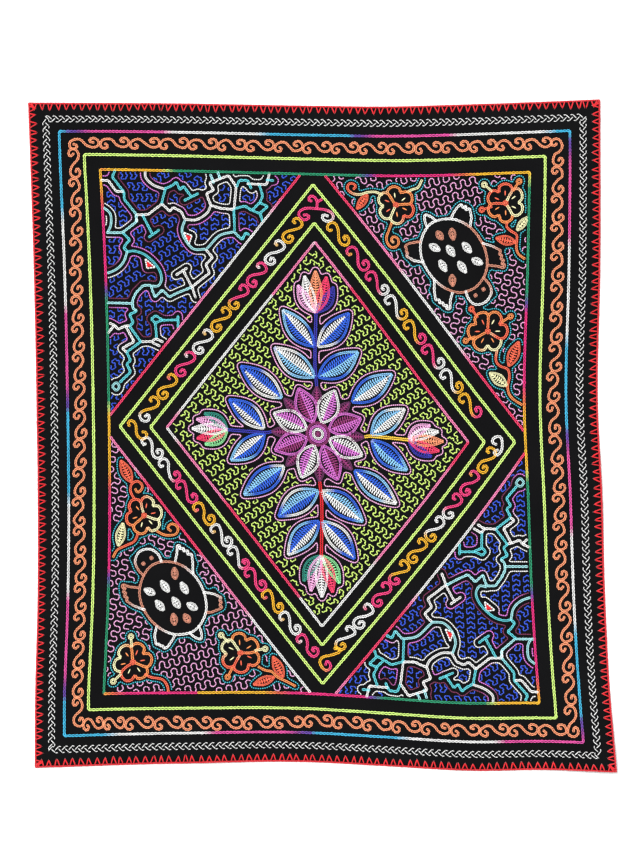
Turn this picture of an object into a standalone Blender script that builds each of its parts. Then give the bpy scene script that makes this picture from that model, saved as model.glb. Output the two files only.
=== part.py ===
# An embroidered black cotton cloth, laid flat: the sheet itself, the red yarn round its edge, and
# the thick chain-stitched lines of its borders and of the diamond in its middle.
# Metres, +Z up, +Y towards the top edge. The origin is under the middle of the cloth.

import bisect
from collections import namedtuple

import bmesh
import bpy
import numpy
from mathutils import Vector
from mathutils.bvhtree import BVHTree

# Driving dimensions
CLOTH_WIDTH = 0.596
CLOTH_LENGTH = 0.694
CLOTH_THICKNESS = 0.0014
CELLS_ACROSS = 24
CELLS_ALONG = 28
PIECE_GAP = 0.0003
EDGE_YARN_DIAMETER = 0.002
LINE_WIDTH = 0.0034
LINE_HEIGHT = 0.0012
CORNER_ROUNDING = 0.004
BORDER_STEP = 0.025
DIAMOND_STEP = 0.040
LOOK_DOWN_FROM = 0.050

# Distance of each stitched border line from the cloth's edge
OUTER_LINE_INSET = 0.0305
LIME_LINE_INSET = 0.0567
SQUARE_LINE_INSET = 0.073

# Half width and half height of each stitched diamond, along its middle line
OUTER_DIAMOND = (0.233, 0.289)
LIME_OUTER_DIAMOND = (0.2135, 0.263)
LIME_INNER_DIAMOND = (0.1805, 0.2225)
INNER_DIAMOND = (0.163, 0.2025)

# How far each edge of the cloth strays outward from the true rectangle, at a share of the way
# along it: upwards on the left and right edges, rightwards on the bottom and top edges
Stray = namedtuple("Stray", "share outward")
LEFT_STRAYS = (
    Stray(0.00, -0.0018),
    Stray(0.10, -0.0021),
    Stray(0.25, -0.0047),
    Stray(0.50, -0.0042),
    Stray(0.75, -0.0007),
    Stray(1.00, 0.0050),
)
RIGHT_STRAYS = (
    Stray(0.00, 0.0129),
    Stray(0.10, 0.0071),
    Stray(0.25, 0.0014),
    Stray(0.40, -0.0018),
    Stray(0.55, -0.0065),
    Stray(0.75, -0.0039),
    Stray(1.00, -0.0039),
)
BOTTOM_STRAYS = (
    Stray(0.00, -0.0004),
    Stray(0.24, -0.0049),
    Stray(0.47, -0.0064),
    Stray(0.61, -0.0020),
    Stray(0.75, 0.0027),
    Stray(0.89, 0.0017),
    Stray(1.00, 0.0038),
)
TOP_STRAYS = (
    Stray(0.00, 0.0012),
    Stray(0.25, 0.0006),
    Stray(0.50, -0.0020),
    Stray(0.65, -0.0028),
    Stray(0.80, 0.0000),
    Stray(0.92, 0.0027),
    Stray(1.00, 0.0048),
)

# How far the sewing strays rightwards and upwards from the true rectangle, at the places that are
# a share of the half width and half length of the inner square line away from the middle. It fades
# to nothing over the last length towards the edge.
Drift = namedtuple("Drift", "across along right up")
DRIFTS = (
    Drift(-1, 1, -0.0013, 0.0045),
    Drift(0, 1, -0.0032, 0.0018),
    Drift(1, 1, 0.0002, 0.0014),
    Drift(-1, 0, 0.0025, 0.0085),
    Drift(0, 0, 0.0000, 0.0003),
    Drift(1, 0, -0.0041, -0.0062),
    Drift(-1, -1, -0.0030, 0.0010),
    Drift(0, -1, 0.0001, -0.0018),
    Drift(1, -1, 0.0002, -0.0047),
)
DRIFT_FADING = 0.066

# Where the edge lifts a little off the surface: a place in shares of the width and length, the
# height there, and how far from it the lift has faded away
Lift = namedtuple("Lift", "across along height reach")
LIFTS = (
    Lift(1.00, 0.00, 0.0045, 0.095),
    Lift(1.00, 0.42, 0.0025, 0.080),
    Lift(0.00, 0.55, 0.0015, 0.065),
    Lift(0.70, 1.00, 0.0020, 0.070),
    Lift(0.30, 0.00, 0.0015, 0.065),
    Lift(0.00, 1.00, 0.0012, 0.050),
)

# Base colours
BLACK_COTTON = (0.012, 0.012, 0.013)
RED_YARN = (0.80, 0.015, 0.028)
SKY_YARN = (0.10, 0.42, 0.70)
LIME_YARN = (0.58, 0.80, 0.16)
AMBER_YARN = (0.88, 0.38, 0.03)
ROSE_YARN = (0.87, 0.09, 0.22)


def edge_stray(strays, share):
    """Outward stray at a share of the way along an edge, on a smooth curve through its rows."""
    shares = [row.share for row in strays]
    outward = [row.outward for row in strays]
    slopes = numpy.gradient(outward, shares)
    row = min(max(bisect.bisect_right(shares, share) - 1, 0), len(shares) - 2)
    span = shares[row + 1] - shares[row]
    t = (share - shares[row]) / span
    from_start = (1 + 2 * t) * (1 - t) ** 2 * outward[row] + t * (1 - t) ** 2 * span * slopes[row]
    from_end = t ** 2 * (3 - 2 * t) * outward[row + 1] + t ** 2 * (t - 1) * span * slopes[row + 1]
    return from_start + from_end


def widest_stray(strays):
    """The furthest that an edge strays outward."""
    return max(row.outward for row in strays)


CENTRE_X = (widest_stray(RIGHT_STRAYS) - widest_stray(LEFT_STRAYS)) / 2
CENTRE_Y = (widest_stray(TOP_STRAYS) - widest_stray(BOTTOM_STRAYS)) / 2


def settled(x, y):
    """Where a point of the true rectangle, measured from its middle, lies on the settled cloth."""
    across = x / CLOTH_WIDTH + 0.5
    along = y / CLOTH_LENGTH + 0.5
    left = -edge_stray(LEFT_STRAYS, along)
    right = edge_stray(RIGHT_STRAYS, along)
    bottom = -edge_stray(BOTTOM_STRAYS, across)
    top = edge_stray(TOP_STRAYS, across)
    return Vector((
        x + (1 - across) * left + across * right - CENTRE_X,
        y + (1 - along) * bottom + along * top - CENTRE_Y,
        lift_height(x, y),
    ))


def drift_weight(place, share):
    """How much the drift at a place of -1, 0 or 1 counts at a share between -1 and 1."""
    if place == 0:
        return 1 - share ** 2
    return share * (share + place) / 2


def sewn(point):
    """Where a point of the embroidery's true layout lies on the settled cloth."""
    across = min(max(point.x / (CLOTH_WIDTH / 2 - SQUARE_LINE_INSET), -1.0), 1.0)
    along = min(max(point.y / (CLOTH_LENGTH / 2 - SQUARE_LINE_INSET), -1.0), 1.0)
    from_edge = min(CLOTH_WIDTH / 2 - abs(point.x), CLOTH_LENGTH / 2 - abs(point.y))
    fading = min(max(from_edge / DRIFT_FADING, 0.0), 1.0)
    right = 0.0
    up = 0.0
    for drift in DRIFTS:
        weight = drift_weight(drift.across, across) * drift_weight(drift.along, along) * fading
        right += weight * drift.right
        up += weight * drift.up
    return settled(point.x + right, point.y + up)


def lift_height(x, y):
    """Height of the cloth's underside above the surface at a point of the true rectangle."""
    height = 0.0
    for lift in LIFTS:
        lift_x = (lift.across - 0.5) * CLOTH_WIDTH
        lift_y = (lift.along - 0.5) * CLOTH_LENGTH
        fading = 1 - ((x - lift_x) ** 2 + (y - lift_y) ** 2) / lift.reach ** 2
        height += lift.height * max(fading, 0.0) ** 2
    return height


def clear_scene():
    """Remove every object of the scene."""
    for thing in list(bpy.data.objects):
        bpy.data.objects.remove(thing, do_unlink=True)


def new_collection(name):
    """A collection linked to the scene."""
    collection = bpy.data.collections.new(name)
    bpy.context.scene.collection.children.link(collection)
    return collection


def yarn_material(name, colour, roughness):
    """A plain matt material with one base colour."""
    material = bpy.data.materials.new(name)
    material.use_nodes = True
    shader = material.node_tree.nodes["Principled BSDF"]
    shader.inputs["Base Color"].default_value = (*colour, 1.0)
    shader.inputs["Roughness"].default_value = roughness
    shader.inputs["Metallic"].default_value = 0.0
    return material


def make_cloth(collection):
    """The sheet: a flat grid settled to the cloth's outline and lifts, given its thickness."""
    mesh = bpy.data.meshes.new("cloth")
    grid = bmesh.new()
    bmesh.ops.create_grid(grid, x_segments=CELLS_ACROSS, y_segments=CELLS_ALONG, size=0.5)
    for vert in grid.verts:
        vert.co = settled(vert.co.x * CLOTH_WIDTH, vert.co.y * CLOTH_LENGTH)
    grid.to_mesh(mesh)
    grid.free()
    cloth = bpy.data.objects.new("cloth", mesh)
    cloth.data.materials.append(yarn_material("black_cotton", BLACK_COTTON, 0.9))
    thickness = cloth.modifiers.new("thickness", "SOLIDIFY")
    thickness.thickness = CLOTH_THICKNESS
    thickness.offset = 1.0
    collection.objects.link(cloth)
    return cloth


def make_line_profile(collection):
    """The low rounded cross-section of a chain-stitched line, flat below."""
    curve = bpy.data.curves.new("line_profile", "CURVE")
    curve.dimensions = "2D"
    outline = curve.splines.new("POLY")
    half = LINE_WIDTH / 2
    corners = ((-half, 0.0), (-0.7 * half, 0.7 * LINE_HEIGHT), (0.0, LINE_HEIGHT),
               (0.7 * half, 0.7 * LINE_HEIGHT), (half, 0.0))
    outline.points.add(len(corners) - 1)
    for point, corner in zip(outline.points, corners):
        point.co = (*corner, 0.0, 1.0)
    outline.use_cyclic_u = True
    profile = bpy.data.objects.new("line_profile", curve)
    profile.hide_render = True
    profile.display_type = "WIRE"
    collection.objects.link(profile)
    return profile


def rounded_ring(corners, rounding):
    """A closed run of points through the corners, each corner cut by a short three-point arc."""
    ring = []
    for index, corner in enumerate(corners):
        before = (corners[index - 1] - corner).normalized()
        after = (corners[(index + 1) % len(corners)] - corner).normalized()
        middle = (before + after) * rounding * 0.3
        ring += [corner + before * rounding, corner + middle, corner + after * rounding]
    return ring


def divided_ring(ring, step):
    """The closed run with points added so that none are further apart than the step."""
    divided = []
    for index, start in enumerate(ring):
        end = ring[(index + 1) % len(ring)]
        parts = max(1, round((end - start).length / step))
        divided += [start.lerp(end, part / parts) for part in range(parts)]
    return divided


def add_ring_curve(name, points, collection):
    """A closed polyline curve through the points."""
    curve = bpy.data.curves.new(name, "CURVE")
    curve.dimensions = "3D"
    curve.twist_mode = "Z_UP"
    spline = curve.splines.new("POLY")
    spline.points.add(len(points) - 1)
    for point, place in zip(spline.points, points):
        point.co = (*place, 1.0)
    spline.use_cyclic_u = True
    ring = bpy.data.objects.new(name, curve)
    collection.objects.link(ring)
    return ring


def above_cloth(point, surface):
    """A place just above the highest part of the cloth that a stitched line covers there."""
    place = sewn(point)
    reach = LINE_WIDTH
    around = ((0.0, 0.0), (reach, 0.0), (-reach, 0.0), (0.0, reach), (0.0, -reach))
    down = Vector((0.0, 0.0, -1.0))
    starts = [place + Vector((step_x, step_y, LOOK_DOWN_FROM)) for step_x, step_y in around]
    place.z = max(surface.ray_cast(start, down)[0].z for start in starts) + PIECE_GAP
    return place


def make_stitched_line(name, corners, step, colour, profile, surface, collection):
    """A raised chain-stitched line, closed, lying just above the cloth."""
    ring = divided_ring(rounded_ring(corners, CORNER_ROUNDING), step)
    line = add_ring_curve(name, [above_cloth(point, surface) for point in ring], collection)
    line.data.bevel_mode = "OBJECT"
    line.data.bevel_object = profile
    line.data.materials.append(yarn_material(name, colour, 0.8))
    return line


def rectangle_corners(inset):
    """Corners of the rectangle at an inset from the cloth's edge, anticlockwise."""
    x = CLOTH_WIDTH / 2 - inset
    y = CLOTH_LENGTH / 2 - inset
    return [Vector((-x, -y)), Vector((x, -y)), Vector((x, y)), Vector((-x, y))]


def diamond_corners(half_size):
    """Corners of an upright diamond, anticlockwise from the right."""
    x, y = half_size
    return [Vector((x, 0.0)), Vector((0.0, y)), Vector((-x, 0.0)), Vector((0.0, -y))]


def cut_diamond_corners(half_size, inset):
    """Corners of a diamond whose four points are cut off by the rectangle at an inset."""
    x, y = half_size
    side_x = CLOTH_WIDTH / 2 - inset
    side_y = CLOTH_LENGTH / 2 - inset
    cut_y = y * (1 - side_x / x)
    cut_x = x * (1 - side_y / y)
    return [
        Vector((side_x, -cut_y)), Vector((side_x, cut_y)),
        Vector((cut_x, side_y)), Vector((-cut_x, side_y)),
        Vector((-side_x, cut_y)), Vector((-side_x, -cut_y)),
        Vector((-cut_x, -side_y)), Vector((cut_x, -side_y)),
    ]


def make_edge_yarn(collection):
    """The round red yarn that runs just outside the cloth's edge, all the way round."""
    radius = EDGE_YARN_DIAMETER / 2
    clear_of_edge = radius + 1.5 * PIECE_GAP
    corners = rectangle_corners(0.0)
    cells = (CELLS_ACROSS, CELLS_ALONG, CELLS_ACROSS, CELLS_ALONG)
    outward = (Vector((0.0, -1.0)), Vector((1.0, 0.0)), Vector((0.0, 1.0)), Vector((-1.0, 0.0)))
    points = []
    for side, start in enumerate(corners):
        end = corners[(side + 1) % len(corners)]
        for cell in range(cells[side]):
            rim = start.lerp(end, cell / cells[side])
            away = outward[side] + outward[side - 1] if cell == 0 else outward[side]
            offset = Vector((*(away * clear_of_edge), 1.1 * radius))
            points.append(settled(rim.x, rim.y) + offset)
    yarn = add_ring_curve("edge_yarn", points, collection)
    yarn.data.bevel_depth = radius
    yarn.data.bevel_resolution = 2
    yarn.data.materials.append(yarn_material("red_yarn", RED_YARN, 0.8))
    return yarn


def main():
    """Build every piece of the cloth."""
    clear_scene()
    pieces = new_collection("embroidered_cloth")
    guides = new_collection("guides")
    profile = make_line_profile(guides)
    cloth = make_cloth(pieces)
    make_edge_yarn(pieces)
    surface = BVHTree.FromObject(cloth, bpy.context.evaluated_depsgraph_get())
    clear_of_square = SQUARE_LINE_INSET + LINE_WIDTH + 2 * PIECE_GAP
    lines = (
        ("outer_line", rectangle_corners(OUTER_LINE_INSET), BORDER_STEP, SKY_YARN),
        ("lime_line", rectangle_corners(LIME_LINE_INSET), BORDER_STEP, LIME_YARN),
        ("square_line", rectangle_corners(SQUARE_LINE_INSET), BORDER_STEP, AMBER_YARN),
        ("diamond_outer_line", cut_diamond_corners(OUTER_DIAMOND, clear_of_square), DIAMOND_STEP,
         ROSE_YARN),
        ("diamond_lime_outer", diamond_corners(LIME_OUTER_DIAMOND), DIAMOND_STEP, LIME_YARN),
        ("diamond_lime_inner", diamond_corners(LIME_INNER_DIAMOND), DIAMOND_STEP, LIME_YARN),
        ("diamond_inner_line", diamond_corners(INNER_DIAMOND), DIAMOND_STEP, ROSE_YARN),
    )
    for name, corners, step, colour in lines:
        make_stitched_line(name, corners, step, colour, profile, surface, pieces)


main()
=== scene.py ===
# An embroidered black cotton cloth, edged in red yarn and laid flat. Every line of sewing starts
# as a small chart in millimetres on the true rectangle, with 0, 0 in its middle and y towards the
# top edge. The chart is cut into stitches, and each stitch is then laid on the settled cloth.
import math
from collections import namedtuple

import bmesh
import bpy
import numpy as np
from mathutils import Matrix, Vector, kdtree


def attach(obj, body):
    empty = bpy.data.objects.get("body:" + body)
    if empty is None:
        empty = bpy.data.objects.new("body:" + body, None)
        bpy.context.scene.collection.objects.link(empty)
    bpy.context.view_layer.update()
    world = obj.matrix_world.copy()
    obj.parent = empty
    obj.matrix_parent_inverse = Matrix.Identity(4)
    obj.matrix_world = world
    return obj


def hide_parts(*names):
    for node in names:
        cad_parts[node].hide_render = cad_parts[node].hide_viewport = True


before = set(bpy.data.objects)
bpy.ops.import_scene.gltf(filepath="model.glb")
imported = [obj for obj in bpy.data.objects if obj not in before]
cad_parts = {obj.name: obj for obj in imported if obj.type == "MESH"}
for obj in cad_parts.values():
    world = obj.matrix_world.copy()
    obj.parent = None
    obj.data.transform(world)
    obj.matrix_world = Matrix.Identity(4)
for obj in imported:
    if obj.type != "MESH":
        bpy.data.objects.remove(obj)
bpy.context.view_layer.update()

chance = np.random.default_rng(17)

# Sizes in millimetres
CLOTH_WIDTH = 596.0
CLOTH_LENGTH = 694.0
CLOTH_THICKNESS = 1.4
OUTER_LINE_INSET = 30.5
LIME_LINE_INSET = 56.7
SQUARE_LINE_INSET = 73.0
SQUARE = (225.0, 274.0)
OUTER_DIAMOND = (233.0, 289.0)
LIME_OUTER_DIAMOND = (213.5, 263.0)
SCROLL_DIAMOND = (197.0, 242.75)
LIME_INNER_DIAMOND = (180.5, 222.5)
INNER_DIAMOND = (163.0, 202.5)
CHAIN_PITCH = 3.7
CURVE_PITCH = 2.7
TIGHT_PITCH = 2.3
CHAIN_WIDTH = 2.8
LIME_WIDTH = 3.1
DIAMOND_LIME_WIDTH = 3.2
BORDER_SCROLL_WIDTH = 2.75
DIAMOND_SCROLL_WIDTH = 3.1
SMALL_CHAIN_WIDTH = 2.3
CHAIN_HEIGHT = 1.3
THIN_WIDTH = 1.45
THIN_HEIGHT = 0.9
# How deep a stitch sinks into the cloth
SINK = 0.15

# How far each edge strays outward, in metres, at a share of the way along it
Stray = namedtuple("Stray", "share outward")
LEFT_STRAYS = (
    Stray(0.00, -0.0018),
    Stray(0.10, -0.0021),
    Stray(0.25, -0.0047),
    Stray(0.50, -0.0042),
    Stray(0.75, -0.0007),
    Stray(1.00, 0.0050),
)
RIGHT_STRAYS = (
    Stray(0.00, 0.0129),
    Stray(0.10, 0.0071),
    Stray(0.25, 0.0014),
    Stray(0.40, -0.0018),
    Stray(0.55, -0.0065),
    Stray(0.75, -0.0039),
    Stray(1.00, -0.0039),
)
BOTTOM_STRAYS = (
    Stray(0.00, -0.0004),
    Stray(0.24, -0.0049),
    Stray(0.47, -0.0064),
    Stray(0.61, -0.0020),
    Stray(0.75, 0.0027),
    Stray(0.89, 0.0017),
    Stray(1.00, 0.0038),
)
TOP_STRAYS = (
    Stray(0.00, 0.0012),
    Stray(0.25, 0.0006),
    Stray(0.50, -0.0020),
    Stray(0.65, -0.0028),
    Stray(0.80, 0.0000),
    Stray(0.92, 0.0027),
    Stray(1.00, 0.0048),
)

# How far the sewing strays rightwards and upwards, in metres, at the places that are a share of
# the square line's half width and half length away from the middle. It fades towards the edge.
Drift = namedtuple("Drift", "across along right up")
DRIFTS = (
    Drift(-1, 1, -0.0013, 0.0045),
    Drift(0, 1, -0.0032, 0.0018),
    Drift(1, 1, 0.0002, 0.0014),
    Drift(-1, 0, 0.0025, 0.0085),
    Drift(0, 0, 0.0000, 0.0003),
    Drift(1, 0, -0.0041, -0.0062),
    Drift(-1, -1, -0.0030, 0.0010),
    Drift(0, -1, 0.0001, -0.0018),
    Drift(1, -1, 0.0002, -0.0047),
)
# How far from the edge the drift begins to fade, in millimetres
DRIFT_FADING = 66.0

# Where the edge lifts off the surface, in metres, and how far from there the lift has faded away
Lift = namedtuple("Lift", "across along height reach")
LIFTS = (
    Lift(1.00, 0.00, 0.0045, 0.095),
    Lift(1.00, 0.42, 0.0025, 0.080),
    Lift(0.00, 0.55, 0.0015, 0.065),
    Lift(0.70, 1.00, 0.0020, 0.070),
    Lift(0.30, 0.00, 0.0015, 0.065),
    Lift(0.00, 1.00, 0.0012, 0.050),
)


def dye(code):
    """Linear red, green and blue of a colour written as six hexadecimal digits."""
    shades = np.array([int(code[place:place + 2], 16) for place in (0, 2, 4)]) / 255
    return np.where(shades <= 0.04045, shades / 12.92, ((shades + 0.055) / 1.055) ** 2.4)


WHITE = dye("F4F4F2")
CREAM = dye("F6F2BC")
SKY = dye("3CBDE8")
VIOLET = dye("6A45B0")
PURPLE = dye("A03C9C")
ORCHID_PINK = dye("EE4FA8")
RED = dye("DE0C1C")
DARK_RED = dye("C40A1C")
PEACH = dye("FF9E70")
LIME = dye("D8FC82")
AMBER = dye("FFC024")
CORAL = dye("FA6A4A")
MAGENTA = dye("F0207E")
GREEN = dye("1A9A6C")
ROSE = dye("F9386A")
PINK = dye("FF86B8")
HOT_PINK = dye("FA3C82")
GOLD = dye("FABA20")
CYAN = dye("5CD2DC")
AQUA = dye("A8E8EC")
LILAC = dye("DC78D8")
MAROON = dye("741E4C")
BLUE = dye("2A54DC")
SOFT_PINK = dye("F8B2E2")
TEAL = dye("34C4D8")
APRICOT = dye("FA9450")
CHARTREUSE = dye("D6F478")
COPPER = dye("D48C72")
ROYAL = dye("2C68E8")
LIGHT_BLUE = dye("8ECEFA")
NAVY = dye("2A2AA8")
YELLOW = dye("FFCE3C")
PLUM = dye("942C70")
ORCHID = dye("D86ECE")
DARK_PLUM = dye("6A245C")
MINT = dye("92EAA0")
DEEP_TEAL = dye("20907E")

# Yarns dyed in bands: where along the yarn, in millimetres, each colour is at its purest. A yarn
# starts again with its first colour after its last row.
Band = namedtuple("Band", "at colour")
SKY_YARN = (
    Band(0, VIOLET), Band(6, VIOLET), Band(14, PURPLE), Band(24, ORCHID_PINK),
    Band(98, ORCHID_PINK), Band(110, WHITE), Band(196, WHITE), Band(212, SKY), Band(294, SKY),
    Band(300, VIOLET),
)
RAINBOW_YARN = (
    Band(0, GREEN), Band(105, GREEN), Band(117, VIOLET), Band(127, MAGENTA), Band(200, MAGENTA),
    Band(214, CORAL), Band(230, AMBER), Band(284, AMBER), Band(292, LIME * 0.8), Band(300, GREEN),
)
ROSE_YARN = (
    Band(0, ROSE), Band(88, ROSE), Band(102, PINK), Band(165, PINK), Band(178, WHITE),
    Band(270, WHITE), Band(284, PINK), Band(300, ROSE),
)
APRICOT_YARN = (
    Band(0, APRICOT), Band(52, APRICOT), Band(66, CREAM), Band(104, CREAM), Band(118, CORAL),
    Band(150, CORAL), Band(165, APRICOT),
)
COPPER_YARN = (
    Band(0, COPPER), Band(70, COPPER), Band(86, WHITE), Band(180, WHITE), Band(196, COPPER),
)
AQUA_YARN = (
    Band(0, CYAN), Band(55, CYAN), Band(70, AQUA), Band(120, AQUA), Band(135, CYAN),
)
OUTLINE_YARN = (
    Band(0, WHITE), Band(120, WHITE), Band(135, LILAC), Band(185, LILAC), Band(205, MAROON),
    Band(290, MAROON), Band(305, LILAC), Band(330, LILAC), Band(345, WHITE),
)
BLUE_YARN = (
    Band(0, ROYAL), Band(30, ROYAL), Band(38, LIGHT_BLUE), Band(62, LIGHT_BLUE), Band(70, WHITE),
    Band(90, WHITE), Band(100, ROYAL),
)


def between_shades(distance, knots, shades):
    """Colours at distances, blended between shades that are at their purest at the knots."""
    return np.column_stack([np.interp(distance, knots, shades[:, tone]) for tone in range(3)])


def variegated(yarn, start=0.0):
    """The colour of a banded yarn as a function of the distance sewn, from a start on the yarn."""
    places = np.array([band.at for band in yarn], float)
    shades = np.array([band.colour for band in yarn])

    def colour_at(distance):
        along = np.mod(np.asarray(distance) + start, places[-1])
        return between_shades(along, places, shades)
    return colour_at


def edge_strays(strays, shares):
    """Outward strays at shares of the way along an edge, on a smooth curve through its rows."""
    knots = np.array([row.share for row in strays])
    outward = np.array([row.outward for row in strays])
    slopes = np.gradient(outward, knots)
    row = np.clip(np.searchsorted(knots, shares, side="right") - 1, 0, len(knots) - 2)
    span = knots[row + 1] - knots[row]
    t = (shares - knots[row]) / span
    from_start = (1 + 2 * t) * (1 - t) ** 2 * outward[row] + t * (1 - t) ** 2 * span * slopes[row]
    from_end = t ** 2 * (3 - 2 * t) * outward[row + 1] + t ** 2 * (t - 1) * span * slopes[row + 1]
    return from_start + from_end


def widest_stray(strays):
    """The furthest that an edge strays outward."""
    return max(row.outward for row in strays)


CENTRE_X = (widest_stray(RIGHT_STRAYS) - widest_stray(LEFT_STRAYS)) / 2
CENTRE_Y = (widest_stray(TOP_STRAYS) - widest_stray(BOTTOM_STRAYS)) / 2


def settled(places):
    """Places of the true rectangle, in millimetres, on the settled cloth's underside in metres."""
    x, y = np.asarray(places, float).T / 1000
    across = x * 1000 / CLOTH_WIDTH + 0.5
    along = y * 1000 / CLOTH_LENGTH + 0.5
    left = -edge_strays(LEFT_STRAYS, along)
    right = edge_strays(RIGHT_STRAYS, along)
    bottom = -edge_strays(BOTTOM_STRAYS, across)
    top = edge_strays(TOP_STRAYS, across)
    height = np.zeros_like(x)
    for lift in LIFTS:
        lift_x = (lift.across - 0.5) * CLOTH_WIDTH / 1000
        lift_y = (lift.along - 0.5) * CLOTH_LENGTH / 1000
        fading = 1 - ((x - lift_x) ** 2 + (y - lift_y) ** 2) / lift.reach ** 2
        height += lift.height * np.maximum(fading, 0.0) ** 2
    return np.column_stack((
        x + (1 - across) * left + across * right - CENTRE_X,
        y + (1 - along) * bottom + along * top - CENTRE_Y,
        height,
    ))


def drift_weight(place, shares):
    """How much the drift at a place of -1, 0 or 1 counts at shares between -1 and 1."""
    if place == 0:
        return 1 - shares ** 2
    return shares * (shares + place) / 2


def sewn(places):
    """Places of the embroidery's layout, in millimetres, on the settled cloth in metres."""
    x, y = np.asarray(places, float).T
    across = np.clip(x / SQUARE[0], -1, 1)
    along = np.clip(y / SQUARE[1], -1, 1)
    from_edge = np.minimum(CLOTH_WIDTH / 2 - np.abs(x), CLOTH_LENGTH / 2 - np.abs(y))
    fading = np.clip(from_edge / DRIFT_FADING, 0, 1) * 1000
    right = np.zeros_like(x)
    up = np.zeros_like(y)
    for drift in DRIFTS:
        weight = drift_weight(drift.across, across) * drift_weight(drift.along, along) * fading
        right += weight * drift.right
        up += weight * drift.up
    return settled(np.column_stack((x + right, y + up)))


# Charts: lines of points, and how they are turned, smoothed and cut into stitches


def turned(points, degrees=0.0, move=(0.0, 0.0), size=1.0, flip=False):
    """The points scaled, mirrored across their own x axis if flipped, turned, and then moved."""
    chart = np.asarray(points, float) * size
    if flip:
        chart = chart * (1, -1)
    angle = math.radians(degrees)
    x_axis = (math.cos(angle), math.sin(angle))
    y_axis = (-math.sin(angle), math.cos(angle))
    return chart @ np.array((x_axis, y_axis)) + move


def flowing(points, closed=False, steps=8):
    """A smooth line through the points."""
    knots = np.asarray(points, float)
    if closed:
        around = np.vstack((knots[-1:], knots, knots[:2]))
    else:
        around = np.vstack((2 * knots[0] - knots[1], knots, 2 * knots[-1] - knots[-2]))
    t = np.linspace(0, 1, steps, endpoint=False)[:, None]
    parts = []
    for before, start, end, after in zip(around, around[1:], around[2:], around[3:]):
        first = (end - before) * t
        second = (2 * before - 5 * start + 4 * end - after) * t ** 2
        third = (3 * start - before - 3 * end + after) * t ** 3
        parts.append(start + 0.5 * (first + second + third))
    line = np.vstack(parts)
    return line if closed else np.vstack((line, knots[-1:]))


def run(points, pitch, width, colour, closed=False, sharp=True):
    """Stitches end to end along a line: a table of start, end, width and colour.

    A sharp line keeps its corners. The colour is one colour or a function of the distance sewn.
    """
    line = np.asarray(points, float)
    if closed:
        line = np.vstack((line, line[:1]))
    steps = np.hypot(*np.diff(line, axis=0).T)
    line = np.vstack((line[:1], line[1:][steps > 1e-6]))
    distance = np.concatenate(([0.0], np.cumsum(steps[steps > 1e-6])))
    if sharp:
        marks = [
            np.linspace(start, end, max(1, round((end - start) / pitch)), endpoint=False)
            for start, end in zip(distance, distance[1:])
        ]
        marks = np.concatenate(marks + [distance[-1:]])
    else:
        marks = np.linspace(0, distance[-1], max(1, round(distance[-1] / pitch)) + 1)
    x = np.interp(marks, distance, line[:, 0])
    y = np.interp(marks, distance, line[:, 1])
    middle = (marks[1:] + marks[:-1]) / 2
    colours = colour(middle) if callable(colour) else np.tile(colour, (len(middle), 1))
    widths = np.full(len(middle), width)
    return np.column_stack((x[:-1], y[:-1], x[1:], y[1:], widths, colours))


def single(start, end, width, colour):
    """A table of one straight stitch."""
    return np.array([(*start, *end, width, *colour)])


def stitch_middles(table):
    """The middle of each stitch of a table."""
    return (table[:, 0:2] + table[:, 2:4]) / 2


def kept(tables, allowed):
    """The stitches of some tables whose middles lie in an allowed place, as one table in a list."""
    table = np.vstack(tables)
    return [table[allowed(stitch_middles(table))]]


def placed(table, place):
    """A stitch table with both ends of each stitch put in place by a function."""
    result = np.array(table)
    for ends in (slice(0, 2), slice(2, 4)):
        result[:, ends] = place(table[:, ends])
    return result


def moved(table, degrees, move):
    """A stitch table turned and moved."""
    return placed(table, lambda spots: turned(spots, degrees, move))


def on_circle(radius, turns):
    """Points on a circle round 0, 0 at turns in radians."""
    return [(radius * math.cos(turn), radius * math.sin(turn)) for turn in turns]


def rectangle_line(inset):
    """Corners of the rectangle at an inset from the edge, clockwise from the top left."""
    x = CLOTH_WIDTH / 2 - inset
    y = CLOTH_LENGTH / 2 - inset
    return [(-x, y), (x, y), (x, -y), (-x, -y)]


def diamond_line(half_size):
    """Corners of an upright diamond, clockwise from the top."""
    x, y = half_size
    return [(0, y), (x, 0), (0, -y), (-x, 0)]


def beyond_diamond(places, half_size):
    """How far places lie outside a diamond's line, in millimetres; less than 0 inside it."""
    x, y = half_size
    share = np.abs(places[:, 0]) / x + np.abs(places[:, 1]) / y
    return (share - 1) / math.hypot(1 / x, 1 / y)


def in_corner_field(margin):
    """A test for places in the square outside the outer diamond, a margin from both lines."""
    def allowed(places):
        inside_square = (np.abs(places[:, 0]) < SQUARE[0] - margin)
        inside_square &= np.abs(places[:, 1]) < SQUARE[1] - margin
        return inside_square & (beyond_diamond(places, OUTER_DIAMOND) > margin)
    return allowed


def in_medallion(margin):
    """A test for places inside the innermost diamond, a margin from its line."""
    return lambda places: beyond_diamond(places, INNER_DIAMOND) < -margin


# Stitches: small shapes, laid one by one on the cloth

Station = namedtuple("Station", "along side rise radius")
CHAIN_ARM = (
    Station(-0.14, 0.04, 0.30, 0.00),
    Station(0.02, 0.20, 0.46, 0.18),
    Station(0.50, 0.32, 0.60, 0.20),
    Station(0.95, 0.21, 0.50, 0.18),
    Station(1.14, 0.03, 0.28, 0.00),
)
FILL_ARM = (
    Station(-0.16, 0.02, 0.30, 0.00),
    Station(0.24, 0.27, 0.56, 0.21),
    Station(0.80, 0.27, 0.56, 0.21),
    Station(1.22, 0.02, 0.28, 0.00),
)
STRAIGHT = (
    Station(-0.03, 0.00, 0.15, 0.00),
    Station(0.24, 0.00, 0.50, 0.48),
    Station(0.76, 0.00, 0.50, 0.48),
    Station(1.03, 0.00, 0.15, 0.00),
)
# The height of a strand is this many times its width in the unit shape of a chain link
CHAIN_DEPTH = 2.4
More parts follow.
